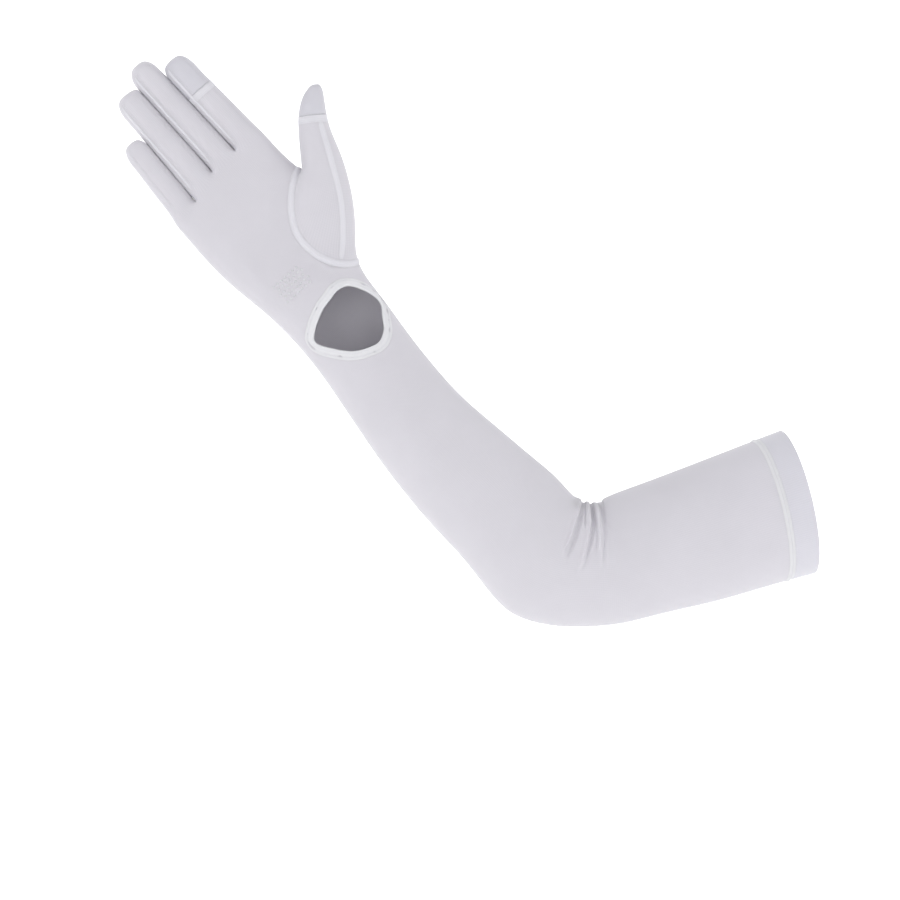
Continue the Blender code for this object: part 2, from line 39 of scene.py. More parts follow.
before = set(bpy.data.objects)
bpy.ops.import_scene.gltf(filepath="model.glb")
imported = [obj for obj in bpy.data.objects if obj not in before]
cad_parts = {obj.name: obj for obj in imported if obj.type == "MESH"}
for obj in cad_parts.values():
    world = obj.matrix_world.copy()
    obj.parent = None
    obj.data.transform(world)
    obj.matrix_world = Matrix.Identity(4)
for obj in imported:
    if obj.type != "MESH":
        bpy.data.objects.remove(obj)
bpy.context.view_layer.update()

import math

import bmesh
import bpy
import numpy as np
from bpy.props import FloatProperty, FloatVectorProperty, PointerProperty
from mathutils import Vector
from mathutils.bvhtree import BVHTree

KNIT_MAP = "knit"
WALL_GROUP = "wall"

# Lengths along the arm, from the hem to the fingers
UPPER_ARM_LENGTH = 0.1568
FOREARM_LENGTH = 0.2088
PALM_LENGTH = 0.1280
HEM_BAND_WIDTH = 0.0170

# Breadths across the sleeve and the hand, as the front view shows them
HEM_BREADTH = 0.0952
ELBOW_BREADTH = 0.0810
FOREARM_BREADTH = 0.0720
WRIST_BREADTH = 0.0612
PALM_BREADTH = 0.0820

# Thicknesses from the palm side to the back
HEM_DEPTH = 0.0880
ELBOW_DEPTH = 0.0760
FOREARM_DEPTH = 0.0650
WRIST_DEPTH = 0.0440
PALM_DEPTH = 0.0290

# Fingers
INDEX_LENGTH = 0.0752
MIDDLE_LENGTH = 0.0872
RING_LENGTH = 0.0818
LITTLE_LENGTH = 0.0603
INDEX_BREADTH = 0.0188
MIDDLE_BREADTH = 0.0187
RING_BREADTH = 0.0190
LITTLE_BREADTH = 0.0160
FINGER_CURL = 0.0070

# Thumb
THUMB_LENGTH = 0.0505
THUMB_ROOT_BREADTH = 0.0275
THUMB_TIP_BREADTH = 0.0165
THUMB_FORWARD = 0.0130
THENAR_BULGE = 0.0046

# Touch panels, measured back from the fingertips, and the other fingers' rounded ends
INDEX_PANEL_LENGTH = 0.0190
THUMB_PANEL_LENGTH = 0.0200
FINGERTIP_LENGTH = 0.0190

# Pose of the arm
ARM_RISE = math.radians(13.2)
ARM_RECEDE = math.radians(9.5)
ELBOW_BEND = math.radians(59.8)
HAND_TURN = math.radians(1.2)
THUMB_SPREAD = math.radians(36.0)

# Inner elbow: where its folds fan out from, and how high they stand
FAN_REACH = 0.0186
INNER_ELBOW_REACH = 0.0390
FOLD_HEIGHT = 0.0026

# Opening at the wrist, with its folded binding
OPENING_LENGTH = 0.0420
OPENING_ARC = 0.0578
BINDING_WIDTH = 0.0062
BINDING_THICKNESS = 0.0020

# Cloth
CLOTH = 0.0012
DOUBLED_CLOTH = 0.0018

# The pieces of the cage, by the number that marks their faces
BODY, THUMB, THUMB_TIP, INDEX_TIP, HEM = range(5)
PIECE_COUNT = 5

# The twelve columns of control points round the sleeve: the inner edge, which runs to the thumb's
# side of the hand, five on the palm side, the outer edge, and five on the back.
COLUMNS = ("R", "T0", "T1", "T2", "T3", "T4", "U", "B4", "B3", "B2", "B1", "B0")

# How strongly the elbow's folds show in each column
FOLD_WEIGHT = {"R": 1.0, "T0": 1.0, "T1": 0.9, "T2": 0.35, "B0": 0.8, "B1": 0.4}

# Sections of the sleeve. along is a share of the limb's length, inner and outer are shares of the
# named breadth, measured from the limb's axis, and deep is a share of the named depth.
HEM_SEAM = 1.0 - HEM_BAND_WIDTH / UPPER_ARM_LENGTH
UPPER_ARM = (
    # along, breadth, inner, outer, depth, deep
    (1.000, HEM_BREADTH, 0.517, 0.483, HEM_DEPTH, 1.00),
    (HEM_SEAM, HEM_BREADTH, 0.494, 0.486, HEM_DEPTH, 0.98),
    (0.740, HEM_BREADTH, 0.460, 0.497, HEM_DEPTH, 0.96),
    (0.560, ELBOW_BREADTH, 0.495, 0.602, ELBOW_DEPTH, 1.07),
    (0.400, ELBOW_BREADTH, 0.455, 0.592, ELBOW_DEPTH, 1.04),
    (0.250, ELBOW_BREADTH, 0.425, 0.594, ELBOW_DEPTH, 1.01),
)
FOREARM = (
    (0.200, ELBOW_BREADTH, 0.405, 0.580, ELBOW_DEPTH, 0.97),
    (0.300, FOREARM_BREADTH, 0.415, 0.655, FOREARM_DEPTH, 1.08),
    (0.400, FOREARM_BREADTH, 0.384, 0.652, FOREARM_DEPTH, 1.04),
    (0.500, FOREARM_BREADTH, 0.350, 0.632, FOREARM_DEPTH, 1.00),
    (0.600, FOREARM_BREADTH, 0.321, 0.603, FOREARM_DEPTH, 0.94),
    (0.700, WRIST_BREADTH, 0.392, 0.655, WRIST_DEPTH, 1.28),
    (0.800, WRIST_BREADTH, 0.415, 0.599, WRIST_DEPTH, 1.16),
    (0.900, WRIST_BREADTH, 0.460, 0.540, WRIST_DEPTH, 1.06),
    (1.000, WRIST_BREADTH, 0.506, 0.498, WRIST_DEPTH, 1.00),
)

# The elbow's fan, from the upper arm to the forearm. turn is a share of the bend, reach a share of
# the elbow's breadth from the inner crease to the outer edge, and fold a share of the fold height:
# a ridge is more than 0, a valley less.
ELBOW_FAN = (
    # turn, reach, fold
    (-0.03, 0.985, 0.30),
    (0.090, 0.980, -1.00),
    (0.200, 0.980, 0.90),
    (0.320, 0.990, -1.00),
    (0.440, 1.010, 1.00),
    (0.560, 1.030, -1.00),
    (0.690, 1.050, 0.90),
    (0.830, 1.040, -0.20),
)

# Sections of the palm. along is a share of the palm's length, the next four are shares of the
# palm's breadth, measured from the wrist's axis to the thumb's side, and the last three are
# shares of the palm's depth: the palm side, its hollow, and the back. One section has no edge,
# because the thumb's root opens there.
PALM = (
    # along, seam, edge, back_seam, outer, palm, hollow, back
    (0.255, 0.185, 0.430, 0.375, -0.372, 0.72, 0.00, 0.68),
    (0.515, 0.125, None, 0.455, -0.448, 0.66, 0.08, 0.60),
    (0.700, 0.510, 0.585, 0.570, -0.462, 0.58, 0.10, 0.56),
    (0.845, 0.500, 0.560, 0.500, -0.452, 0.54, 0.03, 0.55),
)
# The five columns on each side of the palm: how far each lies from the outer edge, as a share of
# the way to the seam, how deep it is, and whether the palm's hollow reaches it.
PALM_COLUMNS = (
    # spread, deep, hollowed
    (1.00, 0.62, 0.0),
    (0.77, 1.00, 1.0),
    (0.525, 1.00, 1.0),
    (0.27, 1.00, 0.0),
    (0.05, 0.62, 0.0),
)
# How far the thumb's edge starts behind the first section, as a share of the palm's length
EDGE_LAG = 0.10

# The webs between the fingers and the palm's two outer corners. along is a share of the palm's
# length, across a share of its breadth and deep a share of half its depth.
WEBS = (
    # along, across, deep
    (0.985, 0.535, 0.60),
    (0.985, 0.284, 0.78),
    (0.990, 0.045, 0.80),
    (0.925, -0.200, 0.76),
    (0.930, -0.438, 0.52),
)
# How far the fingers' common base swells out at both ends, as a share of the palm's breadth
BASE_SWELL = 0.02

# The fingers, from the thumb's side. root and tip say where the middle line starts and ends, as
# shares of the palm's breadth from the wrist's axis.
FINGERS = (
    # length, breadth, end length, root, tip
    (INDEX_LENGTH, INDEX_BREADTH, INDEX_PANEL_LENGTH, 0.410, 0.393),
    (MIDDLE_LENGTH, MIDDLE_BREADTH, FINGERTIP_LENGTH, 0.168, 0.163),
    (RING_LENGTH, RING_BREADTH, FINGERTIP_LENGTH, -0.078, -0.069),
    (LITTLE_LENGTH, LITTLE_BREADTH, FINGERTIP_LENGTH, -0.322, -0.286),
)
# Sections of a finger: along is a share of its length, wide of its breadth
FINGER_SECTIONS = (
    # along, wide
    (0.11, 0.97),
    (0.36, 0.99),
    (0.65, 1.00),
)
FINGERTIP_SECTIONS = (
    # share of the end's length, wide
    (0.00, 0.98),
    (0.36, 1.00),
    (0.69, 0.88),
    (0.90, 0.47),
)
# Thickness of a finger, as a share of its breadth
FINGER_THICKNESS = 0.92
# Least width of the first and last finger's outer side along their lower half
OUTER_SIDE_WIDE = 1.10
OUTER_SIDE_END = 0.50

# Sections of the thumb above its root: wide is a share of the way from the tip's breadth to the
# root's, and bow a share of the thumb's length by which the middle line leans to the fingers.
THUMB_SECTIONS = (
    # along, wide, bow
    (0.00, 1.00, 0.000),
    (0.23, 0.66, 0.033),
    (0.42, 0.36, 0.060),
)
THUMB_TIP_SECTIONS = (
    # share of the panel's length, wide, bow
    (0.00, 0.18, 0.066),
    (0.50, -0.10, 0.042),
    (0.84, -0.50, 0.002),
    (1.00, -1.10, -0.020),
)
# Where the thumb's root lies, as shares of the palm's length and breadth
THUMB_ROOT_ALONG = 0.663
THUMB_ROOT_ACROSS = 0.729
# How much of the thumb's lean to the front its root has, and the thumb's thickness
THUMB_ROOT_FORWARD = 0.35
THUMB_THICKNESS = 0.90
# Sections between the seam and the thumb's root, as shares of the way
THENAR_SECTIONS = (0.34, 0.68)

# The wrist opening's edge, as shares of its length and breadth from its middle, in order round it
OPENING_EDGE = (
    # toward the hand, round to the thumb's side
    (0.43, 0.36),
    (0.50, 0.19),
    (0.47, 0.01),
    (0.43, -0.17),
    (0.30, -0.39),
    (0.15, -0.50),
    (-0.13, -0.37),
    (-0.34, -0.22),
    (-0.46, -0.05),
    (-0.50, 0.10),
    (-0.42, 0.25),
    (-0.25, 0.37),
    (-0.06, 0.50),
    (0.18, 0.47),
)
# Where the opening's middle lies: along the wrist, as a share of the opening's length, and round it
OPENING_ALONG = -0.09
OPENING_TURN = math.radians(11.0)
# The mean radius that turns a length round the wrist into an angle
WRIST_RADIUS = (WRIST_BREADTH + WRIST_DEPTH) / 4.0
# Reach of the wedge that cuts the opening, as shares of the way from the wrist's axis to its
# surface, and where the middles of its two ends lie on that way
CUT_START = 0.60
CUT_END = 1.40
CUT_START_MIDDLE = 0.34
CUT_END_MIDDLE = 1.80
# The powers that square off the ellipse of the binding's section
BINDING_SQUARE_ACROSS = 0.55
BINDING_SQUARE_UP = 0.75


def round_gain(sides):
    """How far a control ring's points lie outside the smooth ring that they make."""
    return 6.0 / (4.0 + 2.0 * math.cos(2.0 * math.pi / sides))


# Directions. Each limb has an axis, a side that points to the inner elbow and the thumb, and a
# front that points to the viewer.
def arm_directions():
    rise = ARM_RISE
    upper_axis = Vector((
        math.cos(ARM_RECEDE) * math.cos(rise),
        math.sin(ARM_RECEDE),
        math.cos(ARM_RECEDE) * math.sin(rise),
    ))
    upper_side = Vector((-math.sin(rise), 0.0, math.cos(rise)))
    fore = math.pi + rise - ELBOW_BEND
    fore_axis = Vector((math.cos(fore), 0.0, math.sin(fore)))
    fore_side = Vector((math.sin(fore), 0.0, -math.cos(fore)))
    hand = fore - HAND_TURN
    hand_axis = Vector((math.cos(hand), 0.0, math.sin(hand)))
    hand_side = Vector((math.sin(hand), 0.0, -math.cos(hand)))
    return upper_axis, upper_side, fore_axis, fore_side, hand_axis, hand_side


UPPER_AXIS, UPPER_SIDE, FORE_AXIS, FORE_SIDE, HAND_AXIS, HAND_SIDE = arm_directions()
UPPER_FRONT = UPPER_AXIS.cross(UPPER_SIDE)
FRONT = Vector((0.0, -1.0, 0.0))
ELBOW = -UPPER_AXIS * UPPER_ARM_LENGTH
WRIST = ELBOW + FORE_AXIS * FOREARM_LENGTH


def sleeve_ring(inner_edge, outer_edge, front, depth, fold=0.0):
    """Control points of one section of the sleeve, by column."""
    middle = (inner_edge + outer_edge) / 2.0
    across = (inner_edge - outer_edge) / 2.0
    gain = round_gain(len(COLUMNS))
    points = {}
    for place, column in enumerate(COLUMNS):
        angle = 2.0 * math.pi * place / len(COLUMNS)
        spoke = across * math.cos(angle) + front * depth / 2.0 * math.sin(angle)
        out = spoke.normalized() * fold * FOLD_WEIGHT.get(column, 0.0)
        points[column] = middle + spoke * gain + out
    return points


def limb_rings(rows, start, axis, side, front, length):
    rings = []
    for along, breadth, inner, outer, depth, deep in rows:
        centre = start + axis * length * along
        rings.append(sleeve_ring(
            centre + side * breadth * inner,
            centre - side * breadth * outer,
            front,
            depth * deep,
        ))
    return rings


def elbow_rings():
    """Sections that fan out round the inner elbow, each a ridge or a valley of its folds."""
    inward = (UPPER_SIDE + FORE_SIDE).normalized()
    crease = ELBOW + inward * INNER_ELBOW_REACH
    pivot = crease + inward * FAN_REACH
    rings = []
    for turn, reach, fold in ELBOW_FAN:
        angle = ARM_RISE - math.pi / 2.0 - ELBOW_BEND * turn
        spoke = Vector((math.cos(angle), 0.0, math.sin(angle)))
        share = min(max(turn, 0.0), 1.0)
        front = UPPER_FRONT.lerp(FRONT, share).normalized()
        inner_edge = pivot + spoke * FAN_REACH
        outer_edge = inner_edge + spoke * ELBOW_BREADTH * reach
        beyond = ((inner_edge + outer_edge) / 2.0 - ELBOW).dot(UPPER_AXIS)
        recede = -FRONT * max(beyond, 0.0) * math.tan(ARM_RECEDE)
        rings.append(sleeve_ring(
            inner_edge + recede, outer_edge + recede, front, ELBOW_DEPTH, FOLD_HEIGHT * fold
        ))
    return rings


def hand_point(along, across, ahead):
    """A point of the hand: metres from the wrist's middle, to the thumb, and to the front."""
    return WRIST + HAND_AXIS * along + HAND_SIDE * across + FRONT * ahead


def palm_rings():
    gain = round_gain(len(COLUMNS))
    rings = []
    for along, seam, edge, back_seam, outer, palm, hollow, back in PALM:
        ring = {}
        start = along * PALM_LENGTH
        ring["U"] = hand_point(start, outer * PALM_BREADTH * gain, 0.0)
        for place, (spread, deep, hollowed) in enumerate(PALM_COLUMNS):
            top = outer + (seam - outer) * spread
            low = outer + (back_seam - outer) * spread
            ahead = (palm * deep - hollow * hollowed) * PALM_DEPTH
            ring[f"T{place}"] = hand_point(start, top * PALM_BREADTH, ahead)
            ring[f"B{place}"] = hand_point(start, low * PALM_BREADTH, -back * deep * PALM_DEPTH)
        if edge is not None:
            lag = EDGE_LAG * PALM_LENGTH if along < THUMB_ROOT_ALONG / 2.0 else 0.0
            ring["R"] = hand_point(start - lag, edge * PALM_BREADTH, 0.0)
        rings.append(ring)
    return rings


def web_ring():
    """The fingers' common base: its corners on the palm side and the back, and the webs between."""
    ring = {}
    half = PALM_DEPTH / 2.0
    for place, (along, across, deep) in enumerate(WEBS):
        start = along * PALM_LENGTH
        ring[f"T{place}"] = hand_point(start, across * PALM_BREADTH, deep * half)
        ring[f"B{place}"] = hand_point(start, across * PALM_BREADTH, -deep * half)
        ring[f"S{place}"] = hand_point(start, across * PALM_BREADTH, 0.0)
    ring["S0"] += HAND_SIDE * BASE_SWELL * PALM_BREADTH
    ring["S4"] -= HAND_SIDE * BASE_SWELL * PALM_BREADTH
    return ring


def finger_columns(place):
    """The six columns of a finger: its corners and sides on the fingers' common base."""
    return (
        f"S{place}", f"T{place}", f"T{place + 1}",
        f"S{place + 1}", f"B{place + 1}", f"B{place}",
    )


def finger_rings(place):
    length, breadth, end, root, tip = FINGERS[place]
    base = (WEBS[place][0] + WEBS[place + 1][0]) / 2.0 * PALM_LENGTH
    rows = [(share * length, wide) for share, wide in FINGER_SECTIONS]
    rows += [(length - end * (1.0 - share), wide) for share, wide in FINGERTIP_SECTIONS]
    columns = finger_columns(place)
    half = breadth / 2.0 * round_gain(len(columns))
    rings = []
    for along, wide in rows:
        share = along / length
        across = (root + (tip - root) * share) * PALM_BREADTH
        ahead = FINGER_CURL * share * share
        ring = {}
        for corner, column in enumerate(columns):
            angle = 2.0 * math.pi * corner / len(columns)
            outer_side = place == 0 and math.cos(angle) > 0.0
            outer_side = outer_side or (place == len(FINGERS) - 1 and math.cos(angle) < 0.0)
            full = max(wide, OUTER_SIDE_WIDE) if outer_side and share < OUTER_SIDE_END else wide
            ring[column] = hand_point(
                base + along,
                across + half * full * math.cos(angle),
                ahead + half * wide * FINGER_THICKNESS * math.sin(angle),
            )
        rings.append(ring)
    return rings


def thumb_rings(loop):
    """Sections of the thumb, from the seam's loop of eight points to the tip."""
    root = hand_point(THUMB_ROOT_ALONG * PALM_LENGTH, THUMB_ROOT_ACROSS * PALM_BREADTH, 0.0)
    axis = HAND_AXIS * math.cos(THUMB_SPREAD) + HAND_SIDE * math.sin(THUMB_SPREAD)
    side = HAND_SIDE * math.cos(THUMB_SPREAD) - HAND_AXIS * math.sin(THUMB_SPREAD)
    rows = [(along * THUMB_LENGTH, wide, bow) for along, wide, bow in THUMB_SECTIONS]
    rows += [
        (THUMB_LENGTH - THUMB_PANEL_LENGTH * (1.0 - share), wide, bow)
        for share, wide, bow in THUMB_TIP_SECTIONS
    ]
    turns = [2.0 * math.pi * corner / len(loop) for corner in range(len(loop))]
    rings = []
    for along, wide, bow in rows:
        share = along / THUMB_LENGTH
        breadth = THUMB_TIP_BREADTH + (THUMB_ROOT_BREADTH - THUMB_TIP_BREADTH) * wide
        half = breadth / 2.0 * round_gain(len(loop))
        lean = THUMB_ROOT_FORWARD + (1.0 - THUMB_ROOT_FORWARD) * share
        centre = root + axis * along - side * bow * THUMB_LENGTH + FRONT * THUMB_FORWARD * lean
        rings.append([
            centre
            + side * half * math.cos(angle)
            + FRONT * half * THUMB_THICKNESS * math.sin(angle)
            for angle in turns
        ])
    blends = []
    for share in THENAR_SECTIONS:
        bulge = THENAR_BULGE * math.sin(math.pi * share)
        ring = []
        for near, far, angle in zip(loop, rings[0], turns):
            point = near.lerp(far, share)
            point += FRONT * bulge * max(math.sin(angle), 0.0)
            point += side * bulge * max(math.cos(angle), 0.0)
            ring.append(point)
        blends.append(ring)
    return blends + rings


# Girth of the knit round the sleeve, a finger and the thumb, before it is stretched
SLEEVE_GIRTH = 0.240
FINGER_GIRTH = 0.060
THUMB_GIRTH = 0.130

# How often the cage is halved: the whole glove, and the small pieces that show closely
FORM_LEVEL = 3
FINE_LEVEL = 4

# Fine creases and ridges inside the elbow, in the picture's plane, in millimetres from the inner
# corner of the elbow: across is to the right and down is toward the floor.
ELBOW_CREASES = (
    # height, width, start across, down, middle across, down, end across, down
    (-1.9, 0.8, -3.7, -1.0, -3.8, 9.0, -4.0, 19.5),
    (-1.6, 1.2, -4.8, 4.0, -10.8, 24.0, -17.5, 41.0),
    (-2.1, 0.9, 0.4, -1.0, 1.9, 16.0, -5.0, 43.5),
    (-1.6, 1.1, 6.7, -1.0, 8.8, 21.0, 7.0, 47.0),
    (-0.7, 0.8, 3.1, 15.0, 3.4, 26.0, 2.4, 37.0),
    (1.7, 0.8, -1.6, -1.0, -1.3, 10.0, -1.6, 21.0),
    (1.8, 1.1, 3.5, -1.0, 5.0, 17.0, 5.4, 33.0),
    (1.5, 1.2, -6.4, 0.0, -13.2, 21.0, -19.4, 35.0),
    (1.3, 1.3, -2.6, 22.0, -5.4, 34.0, -9.8, 49.0),
)
CREASE_CORNER_ACROSS = 0.0044
CREASE_CORNER_UP = 0.0011
# A crease fades over the last part of its length: the whole is this many times as long
CREASE_FADE = 3.5
# How much of its height a crease keeps on the back, and how far round the front reaches
CREASE_BACK_SHARE = 0.5
CREASE_FRONT = 0.5
# How far from a crease the sleeve is cut finer, and how far down on the back
CREASE_BESIDE = 0.0050
CREASE_LEAST = 0.45
CREASE_ROUND = 0.014
CREASE_CUTS = 2
# The deepest crease. Where creases meet at the top, the cloth keeps this share of its thickness.
CREASE_MOST = 0.0019
CREASE_WALL = 0.15
CREASE_WALL_REACH = 1.6
CREASE_THIN_DOWN = 0.0070
CREASE_THIN_FADE = 0.0040

# Neighbouring fingers are pressed together: how far in from the line between them the cloth is
# looked at and moved, in what steps, and what is left between them, a slight overlap
PRESS_BREADTH = 0.0075
PRESS_STEP = 0.0036
PRESS_LEFT = -0.00015
PRESS_MOST = 0.0030
PRESS_FADE = 0.0090
PRESS_REACH = 0.0060

# The ridge along the thumb, in the picture's plane, in millimetres from the origin
THUMB_RIDGE = (
    # right, up
    (-308.8, 247.0),
    (-307.4, 243.7),
    (-300.6, 219.3),
    (-294.8, 194.8),
    (-293.6, 174.0),
    (-294.3, 162.0),
    (-295.0, 156.6),
)

# Finger seams: where they lie round the finger, from its thumb's side to the front
SEAM_ANGLES = (math.radians(42.0), math.radians(124.0))
# The seam that closes each finger lies beside its next neighbour
CLOSING_ANGLE = math.radians(139.0)
CLOSING_WIDTH = 0.0028
CLOSING_HEIGHT = 0.00060
SEAM_START = 0.06
SEAM_END = 0.93

# The palm's grip dots: middle in the picture's plane, rows and columns
DOTS_RIGHT = -0.3262
DOTS_UP = 0.1410
DOT_ROWS = 5
DOT_COLUMNS = 7

# The stage
CAMERA_DISTANCE = 3.0
CAMERA_REACH = 100.0
FRAME_WIDTH = 0.5787
FRAME_RIGHT = -0.22505
FRAME_UP = 0.0354
SENSOR = 36.0
FLOOR_HEIGHT = -0.17
FLOOR_RADIUS = 5.0
COVE_RADIUS = 1.4
WALL_HEIGHT = 2.6
COVE_STEPS = 24
COVE_SIDES = 96
COVE_GLOW = 0.33
PAINT_ROUGHNESS = 0.9
PAINT_SCALE = 3.0
PAINT_DARK = 0.985
AIR_COLOUR = "#FCFCFF"
AIR_STRENGTH = 0.70
STUDIO_LIGHTS = (
    # name, size, power, place, aim
    ("left_softbox", 1.8, 5.0, (-2.6, -2.2, 0.9), (-0.25, 0.0, 0.1)),
    ("top_softbox", 2.0, 5.5, (0.3, -0.7, 2.1), (-0.2, 0.0, 0.1)),
    ("back_wash", 3.0, 40.0, (-0.2, 2.2, 2.2), (-0.2, 4.9, 0.2)),
)

# The pieces' edges meet under the seams, this far apart
SEAM_GAP = 0.00010

# The wrist's binding: its points round and along, how far the cloth's cut edge reaches into its
# fold, the steps of its small waves, the groove across it and the row of stitches
CUT_SAMPLES = 14
BINDING_ROUND = 24
EDGE_IN_BINDING = 0.55
PUCKER_STEPS = 9.0
PUCKER_SLOW = 2.7
PUCKER_SLOW_SHARE = 0.6
BINDING_GROOVE = 0.00028
BINDING_GROOVE_PLACE = 0.36
BINDING_GROOVE_WIDTH = 0.12
BINDING_STITCH_PLACE = 0.68
BINDING_STITCH_LIFT = 0.00042
BINDING_STITCH_SAMPLES = 6

# Seam ridges. They sink into the cloth by a little, and an open one tapers at its two ends.
NORMAL_REACH = 0.0020
SEAM_COLUMNS = 11
SEAM_SINK = 0.00006
SEAM_ROOT = 0.6
SEAM_SPACING = 0.0009
SEAM_TAPER_STEPS = 14.0
SEAM_SAMPLES = 40
LOW_SEAM = 0.7
ROOT_SOFTENING = 12
RIDGE_SAMPLES = 8
CLOSED_FINGERS = ("index_closing_seam", "middle_closing_seam", "ring_closing_seam")

# The light bands at the touch panels, moved off the panel's edge by a share of their width
BAND_HEIGHT = 0.00020
BAND_OFFSET = 0.30
PANEL_BANDS = (
    # name, pieces on its two sides, width
    ("thumb_panel_band", THUMB, THUMB_TIP, 0.0080),
    ("index_panel_band", BODY, INDEX_TIP, 0.0075),
)

# A stitch: a bent capsule. Its bow, how deep it is sunk and the thickness of its ends are shares
# of its radius, and the space between two stitches is twice a share of its length. The last is
# the power by which it thins to its ends.
STITCH_RINGS = 4
STITCH_SIDES = 5
STITCH_BOW = 1.4
STITCH_SUNK = 0.5
STITCH_END = 0.25
STITCH_APART = 0.08
STITCH_ROUND = 0.4
# The seams' stitches, as shares of the named stitch: their length, and how far a zigzag swings
FINE_STITCH = 0.7
FINGER_ZIGZAG = 0.5
PANEL_ZIGZAG = 0.6
HEM_STITCH = 1.3

# Grip dots, and where a look at the palm side starts
DOT_RINGS = 4
DOT_SIDES = 14
LOOK_FROM = -1.0

# The cloth's finish. Real jersey has about one wale in 0.7 mm. The knit's pitch is drawn nearly
# twice as coarse, at 1.2 mm, so that it shows.
COURSE_SHARE = 0.75
COURSE_STRENGTH = 0.35
FUZZ_SIZE = 0.0011
FUZZ_DETAIL = 3.0
FUZZ_STRENGTH = 0.30
MOTTLE_SIZE = 0.030
MOTTLE_DETAIL = 4.0
MOTTLE_LIGHT = 1.03
MOTTLE_DARK = 0.965
# Painted shade: the knit's low places, between its wales and courses, are darkened toward this tint,
# at most by this share
HOLLOW_SHADE_TINT = (0.90, 0.90, 0.915, 1.0)
HOLLOW_SHADE_MOST = 0.55
NYLON_IOR = 1.53
SHEEN_ROUGHNESS = 0.45
# Light that goes through the thin cloth, and how far it spreads in it
LIGHT_THROUGH = 0.50
LIGHT_REACH = 0.0020
# Each cloth's colour by its name in GloveColours, the distance of its wales and the depth of its
# relief as shares of the knit's own, its roughness and its sheen
CLOTHS = {
    # Filament nylon and elastane, knitted fine and smooth: matt, with a pale bloom at its edges
    "knitted_nylon_jersey": ("knit", 1.0, 1.0, 0.72, 0.30),
    # The same yarn, doubled and folded: denser, brighter and a little warmer
    "folded_nylon_rib": ("band", 0.8, 1.1, 0.66, 0.25),
    # Two layers of the jersey: less light goes through them, so they look whiter
    "doubled_nylon_jersey": ("hem", 1.0, 1.0, 0.70, 0.30),
    # Three layers sewn flat: hardly any light goes through, so the seams look whiter still
    "seamed_nylon_jersey": ("seam", 1.0, 1.0, 0.70, 0.30),
    # Nylon knitted with a metallised filament: a flatter and greyer white
    "conductive_touch_jersey": ("touch", 0.8, 0.8, 0.60, 0.15),
    # Sewing thread: brighter than the knit, with a slight gleam
    "spun_polyester_thread": ("thread", 0.4, 0.2, 0.55, 0.10),
    # Silicone dots, printed: smooth, soft and slightly glossy
    "printed_silicone_dots": ("dots", 1.0, 0.1, 0.42, 0.0),
}


class Cage:
    """The control points and faces of the whole glove, with the knit's course across them."""

    def __init__(self):
        self.mesh = bmesh.new()
        self.course = self.mesh.loops.layers.uv.new(KNIT_MAP)

    def points(self, ring):
        if isinstance(ring, dict):
            return {column: self.mesh.verts.new(point) for column, point in ring.items()}
        return [self.mesh.verts.new(point) for point in ring]

    def face(self, corners, piece, course):
        made = self.mesh.faces.new(corners)
        made.material_index = piece
        made.smooth = True
        for loop, place in zip(made.loops, course):
            loop[self.course].uv = place

    def bridge(self, first, second, piece, girth, start, end):
        count = len(first)
        for place in range(count):
            after = (place + 1) % count
            near = girth * place / count
            far = girth * (place + 1) / count
            self.face(
                (first[place], first[after], second[after], second[place]),
                piece,
                ((near, start), (far, start), (far, end), (near, end)),
            )

    def cap(self, ring, piece):
        half = len(ring) // 2
        for step in range(half - 1):
            corners = (ring[step], ring[step + 1], ring[-step - 2], ring[-step - 1])
            course = [(corner.co.dot(HAND_SIDE), corner.co.dot(FRONT)) for corner in corners]
            self.face(corners, piece, course)


def stations(rings):
    """Distances of the rings along the line through their middles."""
    places = [0.0]
    before = None
    for ring in rings:
        corners = list(ring.values()) if isinstance(ring, dict) else ring
        middle = sum((corner.co for corner in corners), Vector()) / len(corners)
        if before is not None:
            places.append(places[-1] + (middle - before).length)
        before = middle
    return places


def build_sleeve(cage, palm_start):
    """The sleeve from the hem to the palm's first ring. Gives that ring's station."""
    sleeve = limb_rings(
        UPPER_ARM, ELBOW, UPPER_AXIS, UPPER_SIDE, UPPER_FRONT, UPPER_ARM_LENGTH
    )
    sleeve += elbow_rings()
    sleeve += limb_rings(FOREARM, ELBOW, FORE_AXIS, FORE_SIDE, FRONT, FOREARM_LENGTH)
    rings = [cage.points(ring) for ring in sleeve]
    rings.append(palm_start)
    along = stations(rings)
    for place in range(len(rings) - 1):
        near, far = ([ring[column] for column in COLUMNS] for ring in rings[place:place + 2])
        piece = HEM if place == 0 else BODY
        cage.bridge(near, far, piece, SLEEVE_GIRTH, along[place], along[place + 1])
    return along[-1]


def build_palm(cage, palm, start):
    """The palm's faces, with a hole at its edge where the thumb goes on."""
    shares = [row[0] for row in PALM] + [WEBS[0][0]]
    along = [start + (share - shares[0]) * PALM_LENGTH for share in shares]
    for place in range(len(palm) - 1):
        near, far = palm[place], palm[place + 1]
        for step, first in enumerate(COLUMNS):
            second = COLUMNS[(step + 1) % len(COLUMNS)]
            corners = (near.get(first), near.get(second), far.get(second), far.get(first))
            if None in corners:
                continue
            here = SLEEVE_GIRTH * step / len(COLUMNS)
            there = SLEEVE_GIRTH * (step + 1) / len(COLUMNS)
            cage.face(corners, BODY, (
                (here, along[place]), (there, along[place]),
                (there, along[place + 1]), (here, along[place + 1]),
            ))
    return along[-1]


